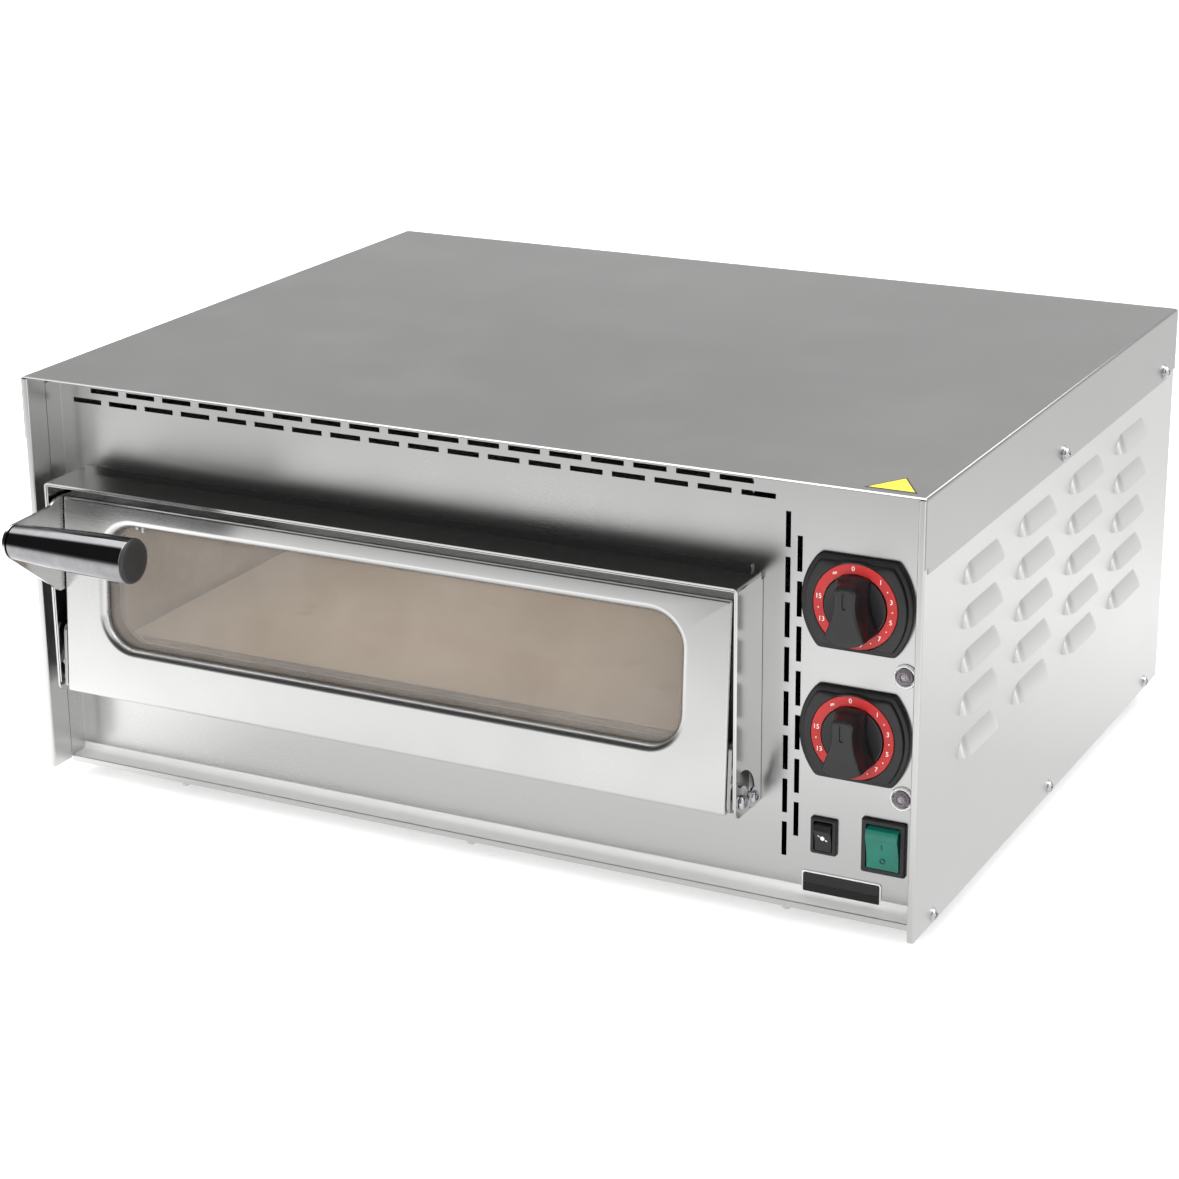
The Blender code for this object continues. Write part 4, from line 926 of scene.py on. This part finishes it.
def hinge_side(name, side):
    """The plate, pivot screw and guide screw on one side of the door."""
    angle = GUIDE_ANGLE + DOOR_LEAN
    guide_y, guide_z = GUIDE_RADIUS * math.cos(angle), GUIDE_RADIUS * math.sin(angle)
    inner, outer = HALF_WIDTH + 0.0004, HALF_WIDTH + 0.0024
    low, high = sorted((side * inner, side * outer))
    outline = rounded_rectangle(-0.0055, 0.0185, -0.0065, 0.0330, 0.004, 5)
    holes = [arc((0, 0), 0.0030, 0, 2 * math.pi, 24)[:-1],
             arc((guide_y, guide_z), 0.0028, 0, 2 * math.pi, 24)[:-1]]
    mesh = solid("plate", plate("plate", [outline, *holes], low, high, "X"), DOOR, 0.0003)
    piece("hinge_side_plate_" + name, mesh, INNER_STEEL, *DOOR_SHEET, ["hinge_plate_" + name])
    turn = OUT_RIGHT if side > 0 else OUT_LEFT
    hood_face = (HOOD_HIGH.x - HOOD_LOW.x) / 2 + 0.0004
    shank_end = inner - hood_face

    def shank(radius):
        return turned("shank", [(0.0, 0.0), (radius, 0.0), (radius, shank_end), (0.0, shank_end)], 20)

    place = Matrix.Translation((side * hood_face, guide_y, guide_z)) @ turn
    head = joined("guide", [(screw_head(0.0036, 0.0022, 0.0058, 0.0012), Matrix.Rotation(0.5, 4, "Z")),
                            (shank(0.0025), STILL)])
    piece("guide_screw_with_washer_" + name, head, ZINC, "door", DOOR @ place, "zinc_plated_steel",
          ["guide_screw_" + name])
    centre = (HOOD_LOW.x + HOOD_HIGH.x) / 2
    pivot = joined("pivot", [(screw_head(0.0040, 0.0026), Matrix.Rotation(1.1, 4, "Z")),
                             (shank(0.0026), STILL)])
    place = Matrix.Translation((centre + side * hood_face, HINGE.y, HINGE.z)) @ turn
    piece("pivot_screw_head_" + name, pivot, ZINC, "casing", CASE @ place, "zinc_plated_steel",
          ["pivot_screw_" + name])
    spot = Matrix.Translation((side * outer, -0.0022, 0.0106)) @ turn
    bracket_screw = screw_head(0.0026, 0.0016, 0.0040, 0.0006)
    piece("hinge_plate_screw_" + name, bracket_screw, ZINC, "door", DOOR @ spot, "zinc_plated_steel")


BRACKET_THICKNESS = 0.0020
HANDLE_LEFT, HANDLE_RIGHT = -HALF_WIDTH, -0.1320
HANDLE_Y, HANDLE_Z = -0.0508, 0.0933
SMALL_RADIUS, LARGE_RADIUS = 0.0101, 0.0130


def handle():
    """A swelling chrome barrel, held at its left end by a screw through a bracket plate."""
    length, rise = HANDLE_RIGHT - HANDLE_LEFT, LARGE_RADIUS - SMALL_RADIUS
    profile = [(0.0110, length - 0.0003), (LARGE_RADIUS - 0.0004, length - 0.0003),
               (LARGE_RADIUS, length - 0.0007)]
    for i in range(1, 25):
        part = 1.0 - i / 24
        swell = rise * math.sin(part * math.pi / 2)
        profile.append((SMALL_RADIUS + swell, 0.0010 + (length - 0.0022) * part))
    profile += [(SMALL_RADIUS - 0.0005, 0.0005), (0.0040, 0.0005)]
    place = DOOR @ Matrix.Translation((HANDLE_LEFT, HANDLE_Y, HANDLE_Z)) @ OUT_RIGHT
    turned_piece("handle_barrel_polished", profile, 72, SHADED_CHROME, "door", place, "chrome", ["handle_barrel"])
    cap = [(0.0, 0.0022), (0.0070, 0.0021), (0.0108, 0.0017), (0.0124, 0.0010), (0.0129, 0.0001),
           (0.0129, -0.0003), (0.0100, -0.0003), (0.0100, -0.0040), (0.0, -0.0040)]
    place = DOOR @ Matrix.Translation((HANDLE_RIGHT, HANDLE_Y, HANDLE_Z)) @ OUT_RIGHT
    turned_piece("handle_cap", cap, 72, CAP_BLACK, "door", place, "black_plastic", ["handle_end_cap"])
    inner = -HALF_WIDTH - 0.0003
    outer = inner - BRACKET_THICKNESS
    nose = arc((HANDLE_Y, HANDLE_Z), SMALL_RADIUS + 0.0002, math.radians(95.5), math.radians(236.8), 20)
    shoulder = [(0.0130, 0.1110), (-0.0120, 0.1110), (-0.0180, 0.1068), nose[0]]
    shoulder = [tuple(point) for point in fillet(shoulder, 0.0060, 0.0050, 6)]
    outline = [*shoulder, *nose[1:], (-0.0116, 0.0552), (-0.0104, 0.0548), (0.0130, 0.0548)]
    bracket = solid("bracket", plate("bracket", [outline], outer, inner, "X"), DOOR, 0.0004)
    piece("handle_bracket_plate", bracket, HOOD_STEEL, *DOOR_SHEET, ["handle_bracket"])
    place = DOOR @ Matrix.Translation((outer, HANDLE_Y, HANDLE_Z)) @ OUT_LEFT
    piece("handle_screw_head", screw_head(0.0050, 0.0024), ZINC, "door", place, "zinc_plated_steel",
          ["handle_screw"])


# ---------------------------------------------------------------- controls

BEZEL_RADIUS, BEZEL_HALF_HEIGHT, BEZEL_BOW = 0.03115, 0.0258, 0.0393
RING_OUTER, RING_INNER = 0.0232, 0.0178
NUMERALS = (("0", 356), ("1", 42), ("3", 75), ("5", 106), ("7", 138), ("9", 170), ("11", 205),
            ("13", 244), ("15", 279))
DOTS = (59, 90, 122, 154, 187, 224, 262)


def bezel_outline(inset, count=144):
    """A plate with flat top and bottom, bowed sides and small round corners, round its centre."""
    bow, bow_centre, half = BEZEL_BOW - inset, BEZEL_BOW - BEZEL_RADIUS, BEZEL_HALF_HEIGHT - inset
    points = []
    for k in range(count):
        angle = 2 * math.pi * k / count
        across, up = abs(math.cos(angle)), max(abs(math.sin(angle)), 1e-6)
        side = math.sqrt(bow ** 2 - (bow_centre * up) ** 2) - bow_centre * across
        flat = half / up
        reach = min(side, flat) * (1.0 + (min(side, flat) / max(side, flat)) ** 60) ** (-1 / 60)
        points.append((reach * math.cos(angle), reach * math.sin(angle)))
    return points


def timer(level):
    """A bowed black plate with a well, a red scale ring, its printing and its knob."""
    low, high = cad("timer_bezel_" + level)
    centre = (low + high) / 2
    base = PANEL_FACE - 0.0002
    pose = CASE @ Matrix.Translation((centre.x, base, centre.z)) @ OUT_FRONT
    steps = [(0.0, 0.0), (0.0, 0.0021), (0.0004, 0.0027), (0.0010, 0.0030), (0.0026, 0.0032),
             (0.0029, 0.0042), (0.0033, 0.0048), (0.0040, 0.0050)]
    loops = [[(u, v, h) for u, v in bezel_outline(inset)] for inset, h in steps]
    circle = [2 * math.pi * k / 144 for k in range(144)]
    for radius, h in ((0.0240, 0.0052), (0.0236, 0.0050), (0.0234, 0.0045), (0.0176, 0.0045), (0.0175, 0.0)):
        loops.append([(radius * math.cos(a), radius * math.sin(a), h) for a in circle])
    mesh = solid("bezel", lofted("bezel", loops, closed=True), STILL)
    piece("timer_dial_plate_" + level, mesh, BLACK, "casing", pose, "black_plastic", ["timer_bezel_" + level])
    profile = [(RING_INNER, 0.0052), (RING_OUTER - 0.0002, 0.0052), (RING_OUTER, 0.0050),
               (RING_OUTER, 0.0046), (RING_INNER, 0.0046)]
    turned_piece("dial_scale_ring_" + level, profile, 96, RED, "casing", pose, "red_dial_plastic",
                 ["dial_ring_" + level])
    dial_print(level, pose)
    timer_knob(level)


def text_mesh(text, size):
    curve = bpy.data.curves.new("text", "FONT")
    curve.body = text
    curve.size = size
    curve.align_x = "CENTER"
    curve.align_y = "CENTER"
    curve.extrude = 0.00004
    curve.offset = 0.00001
    curve.resolution_u = 3
    return filled(curve)


def dial_print(level, pose):
    """White numerals and dots on the ring, and a small loop for continuous running."""
    radius, height, parts = 0.0205, 0.00523, []

    def spot(angle):
        turn = math.radians(angle)
        return radius * math.sin(turn), radius * math.cos(turn), height

    for text, angle in NUMERALS:
        parts.append((text_mesh(text, 0.0037), Matrix.Translation(spot(angle))))
    for angle in DOTS:
        dot = [(0.0, 0.00004), (0.00036, 0.00004), (0.00036, -0.00004), (0.0, -0.00004)]
        parts.append((turned("dot", dot, 12), Matrix.Translation(spot(angle))))
    for shift in (-0.00058, 0.00058):
        loop = [(0.00062, 0.00004), (0.00062, -0.00004), (0.00034, -0.00004), (0.00034, 0.00004)]
        centre = Matrix.Translation(spot(326)) @ Matrix.Rotation(0.35, 4, "Z")
        parts.append((turned("loop", loop, 16), centre @ Matrix.Translation((shift, 0, 0))))
    piece("dial_numbers_" + level, joined("numbers", parts), WHITE_PRINT, "casing", pose, "red_dial_plastic")


# Half widths of the knob's grip at heights up its front face, at the front and at the ridge.
GRIP_FRONT = ((0.0140, 0.0050), (0.0125, 0.0062), (0.0070, 0.0058), (0.0020, 0.0062), (-0.0035, 0.0075),
              (-0.0095, 0.0098), (-0.0135, 0.0112))
GRIP_RIDGE = ((0.0155, 0.0074), (0.0140, 0.0080), (0.0085, 0.0075), (0.0040, 0.0077), (-0.0015, 0.0089),
              (-0.0075, 0.0112), (-0.0118, 0.0128))


def grip_outline(front_share, shrink=0.0):
    """The grip's outline between the ridge (0) and the front face (1), as (u, v)."""
    rights = []
    for (front_v, front_u), (ridge_v, ridge_u) in zip(GRIP_FRONT, GRIP_RIDGE):
        u = ridge_u + (front_u - ridge_u) * front_share - shrink
        v = ridge_v + (front_v - ridge_v) * front_share
        rights.append((u, v - shrink if v > 0.012 else v))
    crown_u, crown_v = rights[0]
    crown = [(crown_u * math.cos(a), crown_v + 0.0011 * math.sin(a))
             for a in (math.pi / 6, math.pi / 3, math.pi / 2, 2 * math.pi / 3, 5 * math.pi / 6)]
    lefts = [(-u, v) for u, v in rights]
    foot_u, foot_v = rights[-1]
    radius = math.hypot(foot_u, foot_v) - shrink * 0.5
    start = math.atan2(foot_v, foot_u)
    sweep = -math.pi - 2 * start
    foot = [(radius * math.cos(start + sweep * k / 12), radius * math.sin(start + sweep * k / 12))
            for k in range(11, 0, -1)]
    return rights[::-1] + crown + lefts + foot


def timer_knob(level):
    """A round skirt with a waisted grip across it."""
    body = level + "_timer_knob"
    joint = JOINTS[level + "_timer_turn"]
    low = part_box("timer_knob_" + level)[0]
    pose = Matrix.Translation(joint) @ OUT_FRONT
    tall = min(joint.y - low.y, 0.0205)
    skirt = [(0.0, 0.0058), (0.0120, 0.0056), (0.0163, 0.0062), (0.0170, 0.0060), (0.0173, 0.0054),
             (0.0173, 0.0008), (0.0, 0.0008)]
    skirt = turned("skirt", skirt, 96)
    layers = [(0.0040, 0.0, -0.0008), (0.0088, 0.0, -0.0004), (0.0098, 0.0, 0.0), (0.0104, 0.08, 0.0002),
              (0.0110, 0.30, 0.0), (0.0125, 0.62, 0.0), (0.0150, 0.86, 0.0), (tall - 0.0014, 0.97, 0.0),
              (tall - 0.0006, 1.0, 0.0002), (tall - 0.0001, 1.0, 0.0009), (tall, 1.0, 0.0018)]
    loops = [[(u, v, h) for u, v in grip_outline(share, shrink)] for h, share, shrink in layers]
    grip = lofted("grip", loops, cap_first=True, cap_last=True)
    groove = rounded_rectangle(-0.0013, 0.0013, 0.0030, 0.0122, 0.0011, 5)
    groove = plate("groove", [groove], tall - 0.0007, tall + 0.002, "Z")
    grip = solid("grip", grip, STILL, 0, [groove])
    skirt = solid("skirt", skirt, STILL)
    mesh = joined("knob", [(skirt, STILL), (grip, STILL)])
    piece("timer_knob_body_" + level, mesh, KNOB_BLACK, body, pose, "black_plastic", ["timer_knob_" + level])


def pilot_lamp(level):
    """A clear collar round a smoked lens with a paler core."""
    low, high = cad("pilot_lamp_rim_" + level)
    centre = (low + high) / 2
    pose = CASE @ Matrix.Translation((centre.x, PANEL_FACE, centre.z)) @ OUT_FRONT
    rim = [(0.0052, 0.0010), (0.0055, 0.0018), (0.0060, 0.0019), (0.0065, 0.0014), (0.0067, 0.0002),
           (0.0052, 0.0002)]
    turned_piece("pilot_lamp_collar_" + level, rim, 48, CLEAR_RIM, "casing", pose, "chrome",
                 ["pilot_lamp_rim_" + level])
    lens = [(0.0020, 0.0022), (0.0025, 0.0028), (0.0031, 0.0028), (0.0034, 0.0022), (0.0042, 0.0020),
            (0.0048, 0.0011), (0.0048, -0.003), (0.0020, -0.003)]
    turned_piece("pilot_lamp_dome_" + level, lens, 48, LENS_GREY, "casing", pose, "clear_lens",
                 ["pilot_lamp_lens_" + level])
    core = [(0.0, 0.0030), (0.0008, 0.0030), (0.0011, 0.0025), (0.0019, 0.0022), (0.0019, -0.002),
            (0.0, -0.002)]
    turned_piece("pilot_lamp_core_" + level, core, 32, LENS_CORE, "casing", pose, "clear_lens")


ROCKER_TILT = math.radians(10.0)


def switch(name, joint_name, body, rocker_material, slot, mark):
    """A bezel with a pocket, and a rocker whose lower half is pressed at rest."""
    low, high = cad(name + "_housing")
    centre_x, centre_z = (low.x + high.x) / 2, (low.z + high.z) / 2
    half_x, half_z = (high.x - low.x) / 2, (high.z - low.z) / 2
    face = low.y
    joint = JOINTS[joint_name] - CORNER
    rocker_low, rocker_high = cad(name + "_rocker")
    wide = (rocker_high.x - rocker_low.x) / 2
    tall = (rocker_high.z - rocker_low.z) / 2
    pocket_x, pocket_z = wide + 0.0004, tall + 0.0009
    border = [(half_x - inset, half_z - inset, 0.0012, depth)
              for inset, depth in ((0.0, 0.0), (0.0, -0.0010), (0.0005, -0.0018), (0.0011, -0.0020))]
    pocket = [(pocket_x + grow, pocket_z + grow, 0.0006, depth)
              for grow, depth in ((0.0003, -0.0020), (0.0, -0.0016), (0.0, 0.0085))]
    loops = [[(u, depth, v) for u, v in rounded_rectangle(-across, across, -up, up, radius, 4)]
             for across, up, radius, depth in border + pocket]
    bezel = solid("bezel", lofted("bezel", loops, cap_last=True), STILL)
    pose = CASE @ Matrix.Translation((centre_x, face + 0.0020, centre_z))
    piece(name + "_bezel", bezel, BLACK, "casing", pose, "black_plastic", [name + "_housing"])
    tilt, reach = ROCKER_TILT, tall
    ends = joint.y - face + reach * math.sin(tilt)
    outline = [(-ends + 0.0019, reach), (-ends, reach * 0.62)]
    outline += [(-ends + 0.0010 * (1 - (k / 6) ** 2), reach * (k * 0.81 / 6 - 0.19))
                for k in range(5, -6, -1)]
    outline += [(-ends, -reach), (0.0004, -reach), (0.0050, -reach * 0.45), (0.0050, reach * 0.45),
                (0.0004, reach)]
    turn = Matrix.Rotation(tilt, 4, "X")
    mesh = solid("rocker", plate("rocker", [outline], -wide, wide, "X"), STILL, 0.0004, segments=3)
    mesh.transform(turn)
    pose = Matrix.Translation(JOINTS[joint_name])
    piece(name + "_rocker_face", mesh, rocker_material, body, pose, slot, [name + "_rocker"])
    mark(name, body, pose @ turn, ends, reach)


def main_marks(name, body, pose, ends, reach):
    bar = boxes("bar", [((-0.00022, -ends + 0.00035, 0.0012), (0.00022, -ends + 0.00095, 0.0040))])
    ring = turned("ring", [(0.0016, 0.0002), (0.0016, -0.0001), (0.0012, -0.0001), (0.0012, 0.0002)], 32)
    place = Matrix.Translation((0, -ends + 0.00055, -reach * 0.55)) @ OUT_FRONT
    mesh = joined("marks", [(bar, STILL), (ring, place)])
    piece(name + "_marks", mesh, GREEN_DARK, body, pose, "green_translucent_plastic")


def light_marks(name, body, pose, ends, reach):
    glow = turned("glow", [(0.0, 0.0003), (0.0012, 0.0003), (0.0012, -0.0002), (0.0, -0.0002)], 20)
    parts = [(glow, Matrix.Translation((0, -ends + 0.0009, 0.0004)) @ OUT_FRONT)]
    for side in (-1, 1):
        ray = boxes("ray", [((0.0016, -0.0002, -0.00022), (0.0030, 0.0002, 0.00022))])
        turn = Matrix.Rotation(0.5 + (math.pi if side < 0 else 0), 4, "Y")
        parts.append((ray, Matrix.Translation((0, -ends + 0.0008, 0.0004)) @ turn))
    piece(name + "_mark", joined("mark", parts), WHITE_PRINT, body, pose, "black_plastic")


def name_plate():
    """A blank plate with a silver border."""
    low, high = cad("blank_name_plate")
    back = PANEL_FACE - 0.0001
    rim = rounded_rectangle(low.x, high.x, low.z, high.z, 0.0016, 5)
    mesh = solid("rim", plate("rim", [rim], back - 0.0006, back, "Y"), CASE, 0.0002)
    piece("blank_plate_border", mesh, SILVER_PRINT, "casing", CASE, "black_plastic", ["blank_name_plate"])
    inset = 0.0008
    face = rounded_rectangle(low.x + inset, high.x - inset, low.z + inset, high.z - inset, 0.0013, 5)
    mesh = solid("face", plate("face", [face], back - 0.0008, back - 0.0005, "Y"), CASE, 0.0001)
    piece("blank_plate_face", mesh, GLOSS_BLACK, "casing", CASE, "black_plastic")


def triangle_sticker():
    """A plain triangle with a dark border and no symbol."""
    corners = [Vector((0.5156, 0.0064)), Vector((0.5296, 0.0293)), Vector((0.5438, 0.0065))]
    middle = sum(corners, Vector((0, 0))) / 3
    layers = (("border", 1.0, 0.00010, BLACK_PRINT), ("field", 0.87, 0.00016, YELLOW))
    for name, share, height, material in layers:
        outline = [tuple(middle + (corner - middle) * share) for corner in corners]
        mesh = solid("sticker", plate("sticker", [outline], HEIGHT, HEIGHT + height, "Z"), CASE)
        piece("plain_triangle_" + name, mesh, material, "casing", CASE, "red_dial_plastic")


# ---------------------------------------------------------------- carried-over nodes

FINISHES = {
    SIDE_STEEL: ("base_tray",),
    LINER: ("baking_chamber",),
    DARK_LINER: ("front_sill", "stone_support_frame"),
    ELEMENT: ("upper_heating_element", "lower_heating_element"),
    STONE: ("baking_stone",),
    WOOL: ("insulation_blanket", "insulation_floor", "insulation_rear"),
    ZINC: ("partition_plate", "timer_movement_upper", "timer_movement_lower", "timer_shaft_upper",
           "timer_shaft_lower"),
    LAMP_GLASS: ("lamp_glass", "lamp_bulb"),
    CERAMIC: ("lamp_holder",),
    RUBBER: ("foot_front_left", "foot_front_right", "foot_rear_left", "foot_rear_right"),
    BLACK: ("terminal_block", "limit_thermostat", "cable_gland"),
    SILICONE: ("glass_seal",),
}


def refinish_nodes():
    """Better materials for the CAD nodes that keep their shapes."""
    for material, names in FINISHES.items():
        for name in names:
            for slot in frame["nodes"][name].material_slots:
                slot.material = material


# ---------------------------------------------------------------- stage


# The floor's glow in reflections, from 1.5 m to 0.5 m in front of the object's middle.
REFLECTED_FADE = ((0.0, 0.10), (0.50, 0.42), (0.80, 0.78), (1.0, 1.0))


def stage():
    """A pale floor with faint shadows. In reflections it shows painted light instead: a glow that fades
    towards the front, as a lit table does, brighter just behind the object and dimmer further back, with a
    painted shadow near the front middle.
    """
    bm = bmesh.new()
    bmesh.ops.create_grid(bm, x_segments=2, y_segments=2, size=14.0)
    floor = placed("floor", from_bmesh("floor", bm))
    m = new_material("pale_floor")
    soft = m.noise(m.coords(), 1.2, 2.0)
    colour = m.ramp(soft, [(0.3, (0.86, 0.86, 0.86)), (0.7, (0.88, 0.88, 0.88))])
    place = m.node("ShaderNodeSeparateXYZ", Vector=m.coords()).outputs
    depth = m.span(place["Y"], -1.50, -0.50, 0.0, 1.0)
    glow = m.ramp(depth, [(at, [level] * 3) for at, level in REFLECTED_FADE])
    # Painted shadow in the reflected glow: it is dimmed near the front middle, where the object's own shadow
    # would lie; the two factors after it paint a brighter band just behind the object and a dimmer one
    # further back.
    near = m.span(place["Y"], -0.50, -0.30, 0.0, 1.0)
    under = m.maths("MULTIPLY", near, m.span(place["X"], -0.33, -0.20, 0.0, 1.0))
    strength = m.span(under, 0.0, 1.0, 1.62, 0.84)
    strength = m.maths("MULTIPLY", strength, m.span(place["Y"], 0.10, 0.40, 1.0, 1.48))
    strength = m.maths("MULTIPLY", strength, m.span(place["Y"], 0.42, 0.75, 1.0, 0.74))
    lit = m.node("ShaderNodeEmission", Color=glow, Strength=strength).outputs["Emission"]
    reflected = m.node("ShaderNodeLightPath").outputs["Is Glossy Ray"]
    m.finish(m.mixed(reflected, m.shader.outputs["BSDF"], lit))
    m.set(Emission_Color=(1.0, 1.0, 1.0, 1.0), Emission_Strength=0.28)
    floor.data.materials.append(m.set(Base_Color=colour, Roughness=0.75, Specular_IOR_Level=0.2))


# The dome's strength behind the object, by the sine of its elevation.
DOME_BEHIND = ((0.00, 0.95), (0.12, 0.80), (0.25, 0.36), (0.46, 0.30), (0.60, 1.3), (0.72, 3.6))
DOME_FRONT = 0.03
DOME_RIGHT = 0.85


def studio_world():
    """A studio dome: bright overhead and behind, a soft card at the right, dark in front."""
    SCENE.world = bpy.data.worlds.new("studio")
    m = Nodes(SCENE.world, "Background")
    direction = m.node("ShaderNodeTexCoord").outputs["Generated"]
    along = m.node("ShaderNodeSeparateXYZ", Vector=direction).outputs

    def step(axis, low, high, start, end):
        node = m.node("ShaderNodeMapRange", Value=along[axis], From_Min=low, From_Max=high,
                      To_Min=start, To_Max=end)
        node.interpolation_type = "SMOOTHSTEP"
        return node.outputs["Result"]

    scale = max(strength for _, strength in DOME_BEHIND)
    stops = [(sine, [strength / scale] * 3) for sine, strength in DOME_BEHIND]
    behind = m.maths("MULTIPLY", m.ramp(along["Z"], stops, "EASE"), step("Y", -0.26, -0.02, 0.0, scale))
    behind = m.maths("MULTIPLY", behind, step("X", -0.76, -0.20, 0.50, 1.0))
    right = m.maths("MULTIPLY", step("X", 0.12, 0.45, 0.0, DOME_RIGHT), step("Y", -0.05, 0.20, 1.0, 0.0))
    total = m.maths("ADD", m.maths("ADD", behind, right), DOME_FRONT)
    m.set(Color=(1.0, 1.0, 1.0, 1.0), Strength=total)


def area_light(name, location, turn, sides, power, colour=(1.0, 1.0, 1.0)):
    light = bpy.data.lights.new(name, "AREA")
    light.shape = "RECTANGLE"
    light.size, light.size_y = sides
    light.energy = power
    light.color = colour
    obj = placed(name, light, Matrix.Translation(location) @ turn)
    obj.visible_glossy = False


def lights():
    """Two soft lights aimed at the object and one in the chamber's ceiling, none seen in reflections."""
    for name, location, target, side, power in (
        ("overhead", (0.0, -0.7, 2.2), (0.0, -0.3, 0.0), 1.8, 14),
        ("front_fill", (-0.2, -1.7, 1.3), (0.1, -0.3, 0.0), 1.4, 26),
    ):
        aim = (Vector(target) - Vector(location)).to_track_quat("-Z", "Y").to_matrix().to_4x4()
        area_light(name, location, aim, (side, side), power)
    low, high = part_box("baking_chamber")
    middle = (low + high) / 2
    ceiling = (middle.x - 0.04, middle.y - 0.05, high.z - 0.006)
    area_light("chamber_lamp", ceiling, STILL, (0.34, 0.28), 0.19, (1.0, 0.94, 0.87))


# The camera's place from the casing's corner, and its turns in degrees: round, down and a slight roll.
CAMERA_PLACE = (1.0201, -1.2761, 0.6645)
CAMERA_TURN = (27.182, 70.847, -0.557)


def camera():
    """Seen from the front, round to the right and from above, as in the photograph."""
    data = bpy.data.cameras.new("camera")
    data.lens = 88.1
    data.sensor_width = 36.0
    data.clip_start, data.clip_end = 0.05, 60.0
    place = CASE @ Matrix.Translation(CAMERA_PLACE)
    for angle, axis in zip(CAMERA_TURN, "ZXZ"):
        place = place @ Matrix.Rotation(math.radians(angle), 4, axis)
    SCENE.camera = placed("camera", data, place)
    SCENE.view_settings.view_transform = "Standard"
    SCENE.view_settings.look = "None"


top_cover()
side_panel("side_panel_left", -1)
side_panel("side_panel_right", 1)
front_panel()
rear_panel()
casing_screws()
hood()
door_outer_skin()
door_inside()
hinge_side("left", -1)
hinge_side("right", 1)
handle()
for level_name in ("upper", "lower"):
    timer(level_name)
    pilot_lamp(level_name)
switch("main_switch", "main_switch_tip", "main_rocker", GREEN, "green_translucent_plastic", main_marks)
switch("light_switch", "light_switch_tip", "light_rocker", BLACK, "black_plastic", light_marks)
name_plate()
triangle_sticker()
refinish_nodes()
stage()
studio_world()
lights()
camera()
